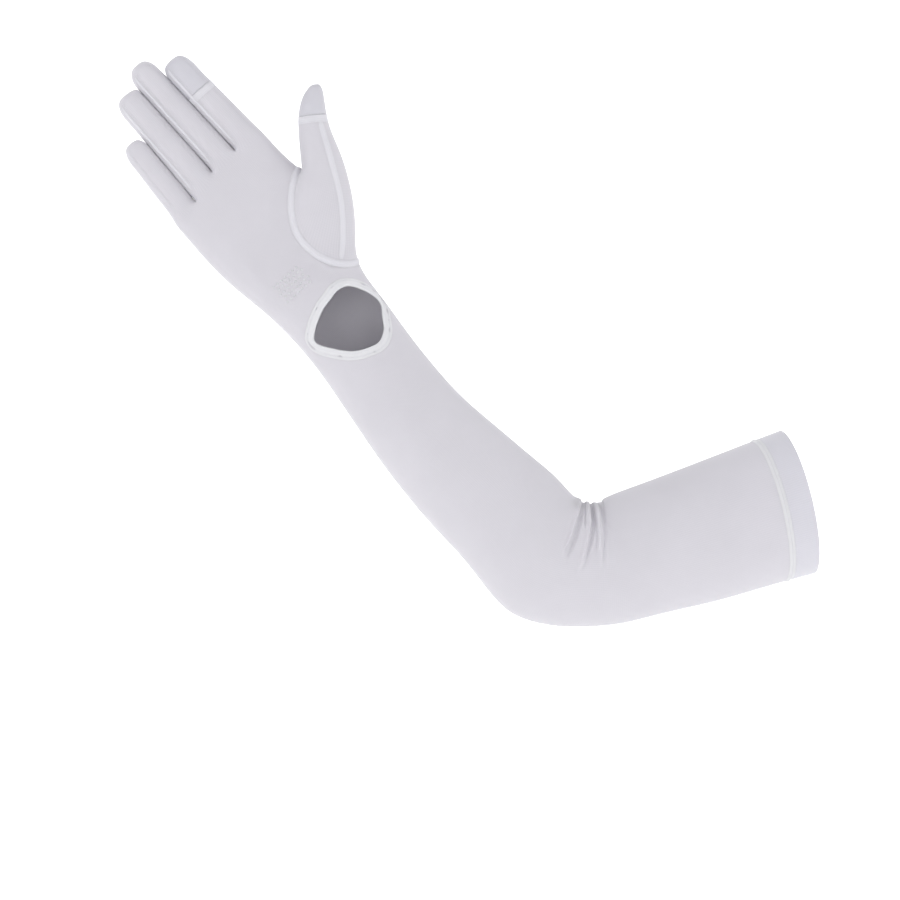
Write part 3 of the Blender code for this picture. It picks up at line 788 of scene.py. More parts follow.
def build_fingers(cage, web, start):
    for place in range(len(FINGERS)):
        columns = finger_columns(place)
        rings = [[web[column] for column in columns]]
        for ring in finger_rings(place):
            made = cage.points(ring)
            rings.append([made[column] for column in columns])
        along = [start + station for station in stations(rings)]
        end_piece = INDEX_TIP if place == 0 else BODY
        for count in range(len(rings) - 1):
            # The index panel takes the finger's last straight section too, down to its light band
            piece = end_piece if count >= len(FINGER_SECTIONS) else BODY
            cage.bridge(
                rings[count], rings[count + 1], piece, FINGER_GIRTH, along[count], along[count + 1]
            )
        cage.cap(rings[-1], end_piece)


def build_thumb(cage, palm):
    first, middle, last = palm[0], palm[1], palm[2]
    loop = [
        first["R"], first["T0"], middle["T0"], last["T0"],
        last["R"], last["B0"], middle["B0"], first["B0"],
    ]
    rings = [loop]
    rings += [cage.points(ring) for ring in thumb_rings([corner.co.copy() for corner in loop])]
    along = stations(rings)
    tip_start = len(THENAR_SECTIONS) + len(THUMB_SECTIONS)
    for count in range(len(rings) - 1):
        piece = THUMB_TIP if count > tip_start else THUMB
        cage.bridge(
            rings[count], rings[count + 1], piece, THUMB_GIRTH, along[count], along[count + 1]
        )
    cage.cap(rings[-1], THUMB_TIP)


def build_cage():
    cage = Cage()
    palm = [cage.points(ring) for ring in palm_rings()]
    web = cage.points(web_ring())
    web["R"] = web["S0"]
    web["U"] = web["S4"]
    wrist_end = build_sleeve(cage, palm[0])
    palm_end = build_palm(cage, palm + [web], wrist_end)
    build_fingers(cage, web, palm_end)
    build_thumb(cage, palm)
    bmesh.ops.recalc_face_normals(cage.mesh, faces=cage.mesh.faces)
    return cage.mesh


def line_weight(flat, points, width):
    """How strongly a soft line through the points acts at each place, fading to its end."""
    best = np.full(len(flat), np.inf)
    share = np.zeros(len(flat))
    legs = len(points) - 1
    for leg in range(legs):
        start = np.array(points[leg])
        run = np.array(points[leg + 1]) - start
        place = np.clip((flat - start) @ run / (run @ run), 0.0, 1.0)
        distance = np.linalg.norm(flat - start - place[:, None] * run, axis=1)
        closer = distance < best
        best = np.where(closer, distance, best)
        share = np.where(closer, (leg + place) / legs, share)
    return np.exp(-(best / width) ** 2) * np.clip(CREASE_FADE * (1.0 - share), 0.0, 1.0)


def crease_corner():
    """The inner corner of the elbow in the picture's plane, where its creases start."""
    inward = (UPPER_SIDE + FORE_SIDE).normalized()
    corner = ELBOW + inward * INNER_ELBOW_REACH
    return corner.x + CREASE_CORNER_ACROSS, corner.z + CREASE_CORNER_UP


def crease_lines():
    """The elbow's creases: height, width and points in the picture's plane, in metres."""
    right, up = crease_corner()
    for height, width, *line in ELBOW_CREASES:
        points = [
            (right + across / 1000.0, up - down / 1000.0)
            for across, down in zip(line[0::2], line[1::2])
        ]
        yield height / 1000.0, width / 1000.0, points


def beside_creases(flat):
    """How closely each place of the picture's plane lies beside the elbow's creases."""
    lines = [line_weight(flat, points, CREASE_BESIDE) for _, _, points in crease_lines()]
    return np.max(lines, axis=0)


def refine_elbow(surface):
    """Cuts the faces beside the elbow's creases finer."""
    mesh = bmesh.new()
    mesh.from_mesh(surface)
    flat = np.array([(corner.co.x, corner.co.z) for corner in mesh.verts])
    top = crease_corner()[1] - CREASE_ROUND
    near = {
        corner for corner, weight in zip(mesh.verts, beside_creases(flat))
        if weight > CREASE_LEAST and (corner.co.y < ELBOW.y or corner.co.z > top)
    }
    edges = [edge for edge in mesh.edges if near.issuperset(edge.verts)]
    bmesh.ops.subdivide_edges(mesh, edges=edges, cuts=CREASE_CUTS, use_grid_fill=True)
    mesh.to_mesh(surface)
    mesh.free()


def corners_of(surface, what="co"):
    """The surface's corners, or their normals, as the rows of an array."""
    values = np.empty(len(surface.vertices) * 3)
    surface.vertices.foreach_get(what, values)
    return values.reshape(-1, 3)


def move_corners(surface, places):
    surface.vertices.foreach_set("co", places.ravel())
    surface.update()


def press_fingers(surface):
    """Presses each two neighbouring fingers together, until they all but touch."""
    places = corners_of(surface)
    side = np.array(HAND_SIDE)
    along = (places - np.array(WRIST)) @ np.array(HAND_AXIS)
    across = (places - np.array(WRIST)) @ side
    for place in range(len(FINGERS) - 1):
        base = WEBS[place + 1][0] * PALM_LENGTH
        middle = np.zeros(len(places))
        end = np.inf
        for finger, toward in ((place, -0.5), (place + 1, 0.5)):
            length, breadth, _, root, tip = FINGERS[finger]
            share = (along - base) / length
            middle += ((root + (tip - root) * share) * PALM_BREADTH + toward * breadth) / 2.0
            end = min(end, base + length)
        for way in (1.0, -1.0):
            reach = (across - middle) * way
            sides = (reach >= 0.0) & (reach < PRESS_BREADTH) & (along > base) & (along < end)
            steps, gaps = [], []
            for start in np.arange(base, end, PRESS_STEP):
                slot = sides & (along >= start) & (along < start + PRESS_STEP)
                if slot.any():
                    steps.append(start + PRESS_STEP / 2.0)
                    gaps.append(reach[slot].min())
            gap = np.interp(along, steps, gaps)
            press = np.clip(gap - PRESS_LEFT, 0.0, PRESS_MOST)
            press *= np.clip((end - along) / PRESS_FADE, 0.0, 1.0)
            fall = np.clip(1.0 - (reach - gap) / PRESS_REACH, 0.0, 1.0)
            fall = fall * fall * (3.0 - 2.0 * fall)
            places -= np.outer(np.where(sides, press * fall * way, 0.0), side)
    move_corners(surface, places)


def press_creases(surface, depth):
    """Presses the elbow's fine creases into the smooth surface and raises its ridges."""
    places = corners_of(surface)
    normals = corners_of(surface, "normal")
    lift = np.zeros(len(places))
    for height, width, points in crease_lines():
        lift += height * line_weight(places[:, (0, 2)], points, width)
    front = np.clip(CREASE_FRONT - normals[:, 1], 0.0, 1.0)
    lift = CREASE_MOST * np.tanh(lift / CREASE_MOST)
    lift *= depth * (CREASE_BACK_SHARE + (1.0 - CREASE_BACK_SHARE) * front)
    places += normals * lift[:, None]
    move_corners(surface, places)


def new_object(name, mesh):
    """An object in the scene, made of a mesh that is then let go."""
    data = bpy.data.meshes.new(name)
    mesh.to_mesh(data)
    mesh.free()
    made = bpy.data.objects.new(name, data)
    bpy.context.scene.collection.objects.link(made)
    return made


def smooth_form(level, crease_depth):
    """The glove's whole outer surface, smoothed, with each piece's faces marked by its number."""
    form = new_object("glove_form", build_cage())
    for _ in range(PIECE_COUNT):
        form.data.materials.append(None)
    smoothing = form.modifiers.new("smooth", "SUBSURF")
    smoothing.levels = level
    smoothing.render_levels = level
    evaluated = form.evaluated_get(bpy.context.evaluated_depsgraph_get())
    surface = bpy.data.meshes.new_from_object(evaluated)
    bpy.data.objects.remove(form)
    refine_elbow(surface)
    press_creases(surface, crease_depth)
    press_fingers(surface)
    return surface


def part_of_form(surface, piece):
    """The faces of one piece, drawn back from its neighbours by half the gap."""
    mesh = bmesh.new()
    mesh.from_mesh(surface)
    others = [face for face in mesh.faces if face.material_index != piece]
    shared = {corner for face in others for corner in face.verts}
    moves = {}
    for corner in shared:
        inward = Vector()
        for edge in corner.link_edges:
            other = edge.other_vert(corner)
            inside = all(face.material_index == piece for face in edge.link_faces)
            if inside and other not in shared:
                inward += (other.co - corner.co).normalized()
        if inward.length > 0.0:
            moves[corner] = inward.normalized() * SEAM_GAP / 2.0
    for corner, move in moves.items():
        corner.co += move
    bmesh.ops.delete(mesh, geom=others, context="FACES")
    for face in mesh.faces:
        face.material_index = 0
        face.smooth = True
    return mesh


class Form:
    """The smoothed surface and its search tree, made once for each level of smoothing."""

    made = {}

    @classmethod
    def surface(cls, level):
        if level not in cls.made:
            depth = bpy.context.scene.glove_sizes.crease_depth
            surface = smooth_form(level, depth)
            whole = bmesh.new()
            whole.from_mesh(surface)
            cls.made[level] = (surface, BVHTree.FromBMesh(whole))
            whole.free()
        return cls.made[level][0]

    @classmethod
    def tree(cls, level=FORM_LEVEL):
        cls.surface(level)
        return cls.made[level][1]


def add_piece(name, mesh, material, nodes=()):
    """A finished piece: it rides on the part's one body and stands for its CAD nodes."""
    piece = new_object(name, mesh)
    piece.data.materials.clear()
    piece.data.materials.append(material)
    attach(piece, "root")
    if nodes:
        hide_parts(*nodes)
    return piece


def apply_modifiers(piece):
    evaluated = piece.evaluated_get(bpy.context.evaluated_depsgraph_get())
    finished = bpy.data.meshes.new_from_object(evaluated)
    finished.name = piece.name
    piece.modifiers.clear()
    piece.data = finished


def add_wall(piece, thickness):
    """The cloth's wall, built inward from the outer surface."""
    cloth = piece.modifiers.new("cloth", "SOLIDIFY")
    cloth.thickness = thickness
    cloth.offset = -1.0
    if WALL_GROUP in piece.vertex_groups:
        cloth.vertex_group = WALL_GROUP


def thin_beside_creases(piece):
    """Thins the wall where the creases meet at the top, so that its inner side can't cross them."""
    flat = np.array([(corner.co.x, corner.co.z) for corner in piece.data.vertices])
    low = crease_corner()[1] - CREASE_THIN_DOWN
    beside = beside_creases(flat) * np.clip((flat[:, 1] - low) / CREASE_THIN_FADE, 0.0, 1.0)
    group = piece.vertex_groups.new(name=WALL_GROUP)
    for place, weight in enumerate(beside):
        thinned = (1.0 - CREASE_WALL) * min(1.0, CREASE_WALL_REACH * weight)
        group.add((place,), float(1.0 - thinned), "REPLACE")


def build_walled(name, number, kind, node, thickness=CLOTH):
    """One of the small pieces, with its wall inside it."""
    mesh = part_of_form(Form.surface(FINE_LEVEL), number)
    piece = add_piece(name, mesh, cloth_material(kind), (node,))
    add_wall(piece, thickness)
    apply_modifiers(piece)


def curve_through(control, closed, samples):
    """A smooth line through the control points, with so many samples to each of its legs."""
    count = len(control)
    points = []
    for first in range(count if closed else count - 1):
        places = [first - 1, first, first + 1, first + 2]
        if closed:
            places = [place % count for place in places]
        else:
            places = [min(max(place, 0), count - 1) for place in places]
        before, start, end, after = (control[place] for place in places)
        for step in range(samples):
            share = step / samples
            points.append(0.5 * (
                2.0 * start
                + (end - before) * share
                + (2.0 * before - 5.0 * start + 4.0 * end - after) * share ** 2
                + (3.0 * start - before - 3.0 * end + after) * share ** 3
            ))
    if not closed:
        points.append(control[-1].copy())
    return points


def opening_spokes(tree, widen, samples):
    """Points on the wrist's surface round the opening, each with the way out and the way along.

    widen moves the edge outward over the cloth, in metres.
    """
    control = [
        Vector((toward_hand * OPENING_LENGTH, toward_thumb * OPENING_ARC))
        for toward_hand, toward_thumb in OPENING_EDGE
    ]
    edge = curve_through(control, True, samples)
    spokes = []
    for step, spot in enumerate(edge):
        tangent = (edge[(step + 1) % len(edge)] - edge[step - 1]).normalized()
        outward = Vector((tangent.y, -tangent.x))
        if outward.dot(spot) < 0.0:
            outward = -outward
        spot = spot + outward * widen
        centre = WRIST + FORE_AXIS * (spot.x + OPENING_ALONG * OPENING_LENGTH)
        angle = OPENING_TURN + spot.y / WRIST_RADIUS
        spoke = FRONT * math.cos(angle) + FORE_SIDE * math.sin(angle)
        hit, normal, _, _ = tree.ray_cast(centre, spoke)
        spokes.append((centre, spoke, hit, normal))
    return spokes


def opening_cutter(tree, widen, samples):
    """A wedge from inside the wrist outward, as wide as the opening and its binding."""
    spokes = opening_spokes(tree, widen, samples)
    mesh = bmesh.new()
    inner = [mesh.verts.new(centre.lerp(hit, CUT_START)) for centre, _, hit, _ in spokes]
    outer = [mesh.verts.new(centre.lerp(hit, CUT_END)) for centre, _, hit, _ in spokes]
    centre = sum((spoke[0] for spoke in spokes), Vector()) / len(spokes)
    outward = sum((spoke[1] for spoke in spokes), Vector()).normalized()
    inner_middle = mesh.verts.new(centre + outward * WRIST_RADIUS * CUT_START_MIDDLE)
    outer_middle = mesh.verts.new(centre + outward * WRIST_RADIUS * CUT_END_MIDDLE)
    for step in range(len(inner)):
        after = (step + 1) % len(inner)
        mesh.faces.new((inner[step], inner[after], outer[after], outer[step]))
        mesh.faces.new((inner[after], inner[step], inner_middle))
        mesh.faces.new((outer[step], outer[after], outer_middle))
    bmesh.ops.recalc_face_normals(mesh, faces=mesh.faces)
    return new_object("opening_cutter", mesh)


def sweep(rows, closed):
    """A closed skin over rows of points, each row a loop, with caps where the sweep ends."""
    mesh = bmesh.new()
    course = mesh.loops.layers.uv.new(KNIT_MAP)
    loops = [[mesh.verts.new(point) for point in row] for row in rows]
    along = [0.0]
    for near, far in zip(rows, rows[1:] + rows[:1]):
        along.append(along[-1] + (far[0] - near[0]).length)
    sides = len(rows[0])
    girth = sum((rows[0][side] - rows[0][side - 1]).length for side in range(sides))
    for step in range(len(loops) if closed else len(loops) - 1):
        first, second = loops[step], loops[(step + 1) % len(loops)]
        for side in range(sides):
            after = (side + 1) % sides
            face = mesh.faces.new((first[side], first[after], second[after], second[side]))
            face.smooth = True
            here, there = girth * side / sides, girth * (side + 1) / sides
            places = (
                (here, along[step]), (there, along[step]),
                (there, along[step + 1]), (here, along[step + 1]),
            )
            for loop, place in zip(face.loops, places):
                loop[course].uv = place
    if not closed:
        mesh.faces.new(list(reversed(loops[0])))
        mesh.faces.new(loops[-1])
    bmesh.ops.recalc_face_normals(mesh, faces=mesh.faces)
    return mesh


def round_corners(mesh, centre, across, up, count):
    """New corners on the ellipse that two arms span round a centre."""
    turns = [2.0 * math.pi * corner / count for corner in range(count)]
    return [
        mesh.verts.new(centre + across * math.cos(turn) + up * math.sin(turn)) for turn in turns
    ]


def skin(mesh, near, far):
    """Smooth faces from one ring of corners to the next."""
    for corner in range(len(near)):
        after = (corner + 1) % len(near)
        mesh.faces.new((near[corner], near[after], far[after], far[corner])).smooth = True


def fan(mesh, ring, tip):
    """Smooth faces from a ring of corners to one tip."""
    for corner, here in enumerate(ring):
        mesh.faces.new((here, ring[(corner + 1) % len(ring)], tip)).smooth = True


def squared(value, power):
    return math.copysign(abs(value) ** power, value)


def binding_mesh(tree, sides, samples, pucker):
    """The folded band round the opening, with a stitched groove and the fold's small puckers."""
    inside = opening_spokes(tree, 0.0, samples)
    outside = opening_spokes(tree, BINDING_WIDTH, samples)
    rows = []
    for step, (near, far) in enumerate(zip(inside, outside)):
        normal = (near[3] + far[3]).normalized()
        if normal.dot(near[1]) < 0.0:
            normal = -normal
        middle = (near[2] + far[2]) / 2.0 - normal * CLOTH / 2.0
        across = (far[2] - near[2]) / 2.0
        turn = 2.0 * math.pi * step / PUCKER_STEPS
        wave = pucker * (math.sin(turn) + PUCKER_SLOW_SHARE * math.sin(turn / PUCKER_SLOW))
        row = []
        for side in range(sides):
            angle = 2.0 * math.pi * (side + 0.5) / sides
            wide = squared(math.cos(angle), BINDING_SQUARE_ACROSS)
            high = squared(math.sin(angle), BINDING_SQUARE_UP)
            off = (wide - BINDING_GROOVE_PLACE) / BINDING_GROOVE_WIDTH
            groove = BINDING_GROOVE * math.exp(-off ** 2)
            up = normal * (BINDING_THICKNESS / 2.0 * high)
            if high > 0.0:
                up -= normal * (groove - wave * (1.0 - abs(wide)))
            row.append(middle + across * wide + up)
        rows.append(row)
    return sweep(rows, True)


def surface_frame(tree, point):
    """The nearest place on the surface, with a normal averaged over its surroundings."""
    place, normal, _, _ = tree.find_nearest(point)
    side = normal.orthogonal().normalized() * NORMAL_REACH
    other = normal.cross(side)
    total = normal.copy()
    for offset in (side, -side, other, -other):
        total += tree.find_nearest(place + offset)[1]
    return place, total.normalized()


def direction(path, step, closed):
    """The way that a path takes at one of its points."""
    ahead = path[(step + 1) % len(path)] if closed or step < len(path) - 1 else path[step]
    behind = path[step - 1] if closed or step > 0 else path[step]
    return (ahead - behind).normalized()


def seam_strip(tree, path, width, height, closed):
    """A soft ridge on the surface along a path: the seam's folded edges under the knit."""
    rows = []
    for step, point in enumerate(path):
        place, normal = surface_frame(tree, point)
        across = direction(path, step, closed).cross(normal).normalized()
        end = 1.0
        if not closed:
            end = min(1.0, min(step, len(path) - 1 - step) / SEAM_TAPER_STEPS)
        top = []
        bottom = []
        for column in range(SEAM_COLUMNS):
            share = 2.0 * column / (SEAM_COLUMNS - 1) - 1.0
            on_cloth = tree.find_nearest(place + across * share * width / 2.0)[0]
            rise = height * end * math.cos(math.pi / 2.0 * share) ** 2
            top.append(on_cloth + normal * (rise - SEAM_SINK))
            bottom.append(on_cloth - normal * (CLOTH * SEAM_ROOT))
        rows.append(top + bottom[::-1])
    return sweep(rows, closed)


def border_path(surface, first, second):
    """The closed line between two pieces' faces, as points in order."""
    mesh = bmesh.new()
    mesh.from_mesh(surface)
    links = {}
    for edge in mesh.edges:
        kinds = {face.material_index for face in edge.link_faces}
        if kinds == {first, second}:
            one, two = edge.verts
            links.setdefault(one.index, []).append(two.index)
            links.setdefault(two.index, []).append(one.index)
    mesh.verts.ensure_lookup_table()
    start = min(links)
    order = [start]
    before = None
    here = start
    while True:
        following = [place for place in links[here] if place != before]
        before, here = here, following[0]
        if here == start:
            break
        order.append(here)
    points = [mesh.verts[place].co.copy() for place in order]
    mesh.free()
    return points


def softened(points, passes):
    """A closed line with its corners worn down."""
    for _ in range(passes):
        points = [
            (points[place - 1] + points[place] * 2.0 + points[(place + 1) % len(points)]) / 4.0
            for place in range(len(points))
        ]
    return points


def border_axis(edge, middle):
    """The way out of the palm that stands square on a border's loop."""
    axis = Vector()
    for near, far in zip(edge, edge[1:] + edge[:1]):
        axis += (near - middle).cross(far - middle)
    axis.normalize()
    return axis if axis.dot(HAND_AXIS) > 0.0 else -axis


def even_path(points, closed, spacing):
    """The same line with its points evenly spaced."""
    line = points + points[:1] if closed else points
    lengths = [0.0]
    for near, far in zip(line, line[1:]):
        lengths.append(lengths[-1] + (far - near).length)
    count = max(3, round(lengths[-1] / spacing))
    made = []
    leg = 0
    for step in range(count if closed else count + 1):
        target = lengths[-1] * step / count
        while leg < len(lengths) - 2 and lengths[leg + 1] < target:
            leg += 1
        share = (target - lengths[leg]) / max(lengths[leg + 1] - lengths[leg], 1e-9)
        made.append(line[leg].lerp(line[leg + 1], min(share, 1.0)))
    return made


def on_front(tree, right, up):
    """The place on the palm side that shows at a point of the picture's plane."""
    place = tree.ray_cast(Vector((right, LOOK_FROM, up)), -FRONT)[0]
    if place is None:
        raise ValueError(f"no cloth shows {right:.4f} m right and {up:.4f} m up")
    return place


def finger_seam(tree, place, angle):
    """A line along a finger's side, found from inside the finger outward."""
    length, _, _, root, tip = FINGERS[place]
    base = (WEBS[place][0] + WEBS[place + 1][0]) / 2.0 * PALM_LENGTH
    way = HAND_SIDE * math.cos(angle) + FRONT * math.sin(angle)
    points = []
    for step in range(SEAM_SAMPLES + 1):
        share = SEAM_START + (SEAM_END - SEAM_START) * step / SEAM_SAMPLES
        across = (root + (tip - root) * share) * PALM_BREADTH
        centre = hand_point(base + share * length, across, FINGER_CURL * share * share)
        points.append(tree.ray_cast(centre, way)[0])
    return points


def add_stitch(mesh, start, end, lift, radius):
    """One thread stitch: a small bent capsule that bows up from the cloth."""
    run = end - start
    forward = run.normalized()
    side = forward.cross(lift).normalized()
    up = side.cross(forward)
    rings = []
    for step in range(STITCH_RINGS + 1):
        share = step / STITCH_RINGS
        bow = math.sin(math.pi * share)
        centre = start + run * share + up * radius * (STITCH_BOW * bow - STITCH_SUNK)
        thick = radius * max(STITCH_END, bow) ** STITCH_ROUND
        rings.append(round_corners(mesh, centre, side * thick, up * thick, STITCH_SIDES))
    for near, far in zip(rings, rings[1:]):
        skin(mesh, far, near)
    mesh.faces.new(rings[0])
    mesh.faces.new(list(reversed(rings[-1])))


def stitch_row(mesh, tree, path, closed, length, radius, zigzag=0.0, lift=0.0):
    """Stitches along a path: each spans a step, and a zigzag swings them from side to side."""
    points = even_path(path, closed, length)
    places = []
    for step, point in enumerate(points):
        place, normal = surface_frame(tree, point)
        across = direction(points, step, closed).cross(normal)
        swing = zigzag / 2.0 if step % 2 else -zigzag / 2.0
        places.append((place + across * swing + normal * lift, normal))
    following = places[1:] + places[:1] if closed else places[1:]
    for near, far in zip(places, following):
        start = near[0].lerp(far[0], STITCH_APART)
        end = near[0].lerp(far[0], 1.0 - STITCH_APART)
        add_stitch(mesh, start, end, (near[1] + far[1]).normalized(), radius)


def linear(hex_colour):
    """An sRGB hex colour as linear red, green and blue."""
    channels = [int(hex_colour[place:place + 2], 16) / 255.0 for place in (1, 3, 5)]
    return tuple(
        value / 12.92 if value <= 0.04045 else ((value + 0.055) / 1.055) ** 2.4
        for value in channels
    )


def set_up(node, settings):
    """Sets a node's inputs, and its properties where it has no such input."""
    for name, value in settings.items():
        if isinstance(name, int) or name in node.inputs:
            node.inputs[name].default_value = value
        else:
            setattr(node, name, value)


def add_node(tree, kind, settings, links):
    """Adds a node with its settings, and links its inputs to output sockets."""
    node = tree.nodes.new(kind)
    set_up(node, settings)
    for name, source in links.items():
        tree.links.new(source, node.inputs[name])
    return node


def wave_scale(pitch):
    """A Wave texture's scale for bands of that pitch in metres: it turns 20 radians a unit."""
    return 2.0 * math.pi / (20.0 * pitch)


def new_material(name):
    """A new material, with its node tree and its shader."""
    material = bpy.data.materials.new(name)
    material.use_nodes = True
    return material, material.node_tree, material.node_tree.nodes["Principled BSDF"]


def bands(tree, course, way, pitch):
    """Soft bands across the knit's course, at that pitch in metres."""
    settings = {"bands_direction": way, "Scale": wave_scale(pitch), "Distortion": 0.0}
    return add_node(tree, "ShaderNodeTexWave", settings, {"Vector": course}).outputs["Fac"]


def noise(tree, place, size, detail):
    settings = {"Scale": 1.0 / size, "Detail": detail}
    return add_node(tree, "ShaderNodeTexNoise", settings, {"Vector": place}).outputs["Fac"]


def blend(tree, factor, first, second):
    settings = {"data_type": "FLOAT", "Factor": factor}
    return add_node(tree, "ShaderNodeMix", settings, {2: first, 3: second}).outputs[0]


def knit_material(name, colour, pitch, relief, roughness, sheen):
    """A knit's wales and courses as fine relief, a soft mottle of the yarn, and painted shade
    between its stitches.

    pitch is the distance of the wales in metres, relief the depth of the knit.
    """
    material, tree, shader = new_material(name)
    course = add_node(tree, "ShaderNodeUVMap", {"uv_map": KNIT_MAP}, {}).outputs["UV"]
    place = add_node(tree, "ShaderNodeTexCoord", {}, {}).outputs["Object"]
    wales = bands(tree, course, "X", pitch)
    rows = bands(tree, course, "Y", pitch * COURSE_SHARE)
    stitch = blend(tree, COURSE_STRENGTH, wales, rows)
    fuzz = noise(tree, place, FUZZ_SIZE, FUZZ_DETAIL)
    height = blend(tree, FUZZ_STRENGTH, stitch, fuzz)
    bump = add_node(
        tree, "ShaderNodeBump", {"Strength": 1.0, "Distance": relief}, {"Height": height}
    )
    light = tuple(min(1.0, value * MOTTLE_LIGHT) for value in colour)
    dark = tuple(value * MOTTLE_DARK for value in colour)
    cloth = add_node(
        tree, "ShaderNodeMix",
        {"data_type": "RGBA", "A": (*dark, 1.0), "B": (*light, 1.0)},
        {"Factor": noise(tree, place, MOTTLE_SIZE, MOTTLE_DETAIL)},
    )
    # Painted shade in the knit's hollows: where the stitch pattern is low, the colour is darkened
    # toward the tint
    hollow_shade = add_node(
        tree, "ShaderNodeMapRange", {"To Min": HOLLOW_SHADE_MOST, "To Max": 0.0}, {"Value": stitch}
    )
    hollow = add_node(
        tree, "ShaderNodeMix",
        {"data_type": "RGBA", "blend_type": "MULTIPLY", "B": HOLLOW_SHADE_TINT},
        {0: hollow_shade.outputs[0], 6: cloth.outputs[2]},
    )
    tree.links.new(hollow.outputs[2], shader.inputs["Base Color"])
    tree.links.new(bump.outputs["Normal"], shader.inputs["Normal"])
    set_up(shader, {
        "Roughness": roughness,
        "IOR": NYLON_IOR,
        "Sheen Weight": sheen,
        "Sheen Roughness": SHEEN_ROUGHNESS,
        "Subsurface Weight": LIGHT_THROUGH,
        "Subsurface Radius": (1.0, 1.0, 1.0),
        "Subsurface Scale": LIGHT_REACH,
    })
    return material


def cloth_material(kind):
    """The finish of one of the glove's cloths, made once."""
    found = bpy.data.materials.get(kind)
    if found:
        return found
    scene = bpy.context.scene
    colour, wales, depth, roughness, sheen = CLOTHS[kind]
    pitch = scene.glove_sizes.knit_pitch * wales
    relief = scene.glove_sizes.knit_relief * depth
    tint = getattr(scene.glove_colours, colour)
    return knit_material(kind, tint, pitch, relief, roughness, sheen)


def stage_material(name, colour):
    """Matt white cove, lit from within: a faint unevenness of the paint keeps it from going flat."""
    material, tree, shader = new_material(name)
    place = add_node(tree, "ShaderNodeTexCoord", {}, {}).outputs["Object"]
    paint = add_node(tree, "ShaderNodeTexNoise", {"Scale": PAINT_SCALE}, {"Vector": place})
    dark = tuple(value * PAINT_DARK for value in colour)
    mix = add_node(
        tree, "ShaderNodeMix",
        {"data_type": "RGBA", "A": (*dark, 1.0), "B": (*colour, 1.0)},
        {"Factor": paint.outputs["Fac"]},
    )
    tree.links.new(mix.outputs[2], shader.inputs["Base Color"])
    set_up(shader, {
        "Roughness": PAINT_ROUGHNESS,
        "Emission Color": (*colour, 1.0),
        "Emission Strength": COVE_GLOW,
    })
    return material


def length(name, description, default, least=0.0):
    """A length for the panel, in metres."""
    return FloatProperty(
        name=name, description=description, default=default, min=least, unit="LENGTH"
    )


def shade(name, description, colour):
    """A colour for the panel, from its sRGB hex."""
    return FloatVectorProperty(
        name=name, description=description, default=linear(colour),
        size=3, subtype="COLOR", min=0.0, max=1.0,
    )


class GloveSizes(bpy.types.PropertyGroup):
    """Sizes of the knit, its folds, seams and stitches."""

    knit_pitch: length("Knit pitch", "Distance between the knit's wales", 0.0012, 0.0002)
    knit_relief: length("Knit relief", "Depth of the knit's stitches", 0.00008)
    crease_depth: FloatProperty(
        name="Crease depth", description="Strength of the fine folds inside the elbow",
        default=1.0, min=0.0, subtype="FACTOR",
    )
    seam_width: length("Seam width", "Width of the ridge of the thumb's seam", 0.0056, 0.0005)
    seam_height: length("Seam height", "Height of the ridge of the thumb's seam", 0.0009)
    stitch_length: length("Stitch length", "Length of one stitch of a seam", 0.0016, 0.0004)
    thread_radius: length("Thread radius", "Half the sewing thread's thickness", 0.00012, 0.00005)
    pucker: length("Binding pucker", "Height of the folded binding's small waves", 0.00018)
    dot_radius: length("Dot radius", "Radius of one raised grip dot on the palm", 0.0009, 0.0002)
    dot_height: length("Dot height", "Height of one raised grip dot on the palm", 0.00035)
    dot_pitch: length("Dot pitch", "Distance between the grip dots", 0.0032, 0.001)


class GloveColours(bpy.types.PropertyGroup):
    """Colours of the glove's cloths and thread, and of the studio."""

    knit: shade("Knit", "Colour of the white jersey", "#D3D1D6")
    band: shade("Band", "Colour of the folded binding", "#E0E0E2")
    hem: shade("Hem", "Colour of the doubled hem", "#D5D4DA")
    seam: shade("Seams", "Colour of the seam ridges and the touch panels' bands", "#DCDBE0")
    touch: shade("Touch panels", "Colour of the conductive fingertips", "#CECDD3")
    thread: shade("Thread", "Colour of the sewing thread", "#E0E0E4")
    dots: shade("Grip dots", "Colour of the raised dots on the palm", "#EAEAEE")
    studio: shade("Studio", "Colour of the floor and the cove", "#F8F8F8")


class GLOVE_OT_body(bpy.types.Operator):
    """Builds the hand and the sleeve, with the opening at the wrist cut out"""

    bl_idname = "glove.body"
    bl_label = "Hand and sleeve"

    def execute(self, context):
        surface = Form.surface(FORM_LEVEL)
        mesh = part_of_form(surface, BODY)
        material = cloth_material("knitted_nylon_jersey")
        piece = add_piece("knit_body", mesh, material, ("glove_body",))
        thin_beside_creases(piece)
        add_wall(piece, CLOTH)
        cut = piece.modifiers.new("wrist_opening", "BOOLEAN")
        cut.operation = "DIFFERENCE"
        cut.solver = "EXACT"
        cutter = opening_cutter(Form.tree(), BINDING_WIDTH * EDGE_IN_BINDING, CUT_SAMPLES)
        cut.object = cutter
        apply_modifiers(piece)
        bpy.data.objects.remove(cutter)
        return {"FINISHED"}


class GLOVE_OT_thumb(bpy.types.Operator):
    """Builds the thumb, from its seam in the palm to its touch panel"""

    bl_idname = "glove.thumb"
    bl_label = "Thumb"

    def execute(self, context):
        build_walled("knit_thumb", THUMB, "knitted_nylon_jersey", "thumb")
        return {"FINISHED"}


class GLOVE_OT_touch_panels(bpy.types.Operator):
    """Builds the two touch panels over the tips of the thumb and the index finger"""

    bl_idname = "glove.touch_panels"
    bl_label = "Touch panels"

    def execute(self, context):
        jersey = "conductive_touch_jersey"
        build_walled("touch_panel_thumb", THUMB_TIP, jersey, "thumb_tip")
        build_walled("touch_panel_index", INDEX_TIP, jersey, "index_tip")
        return {"FINISHED"}


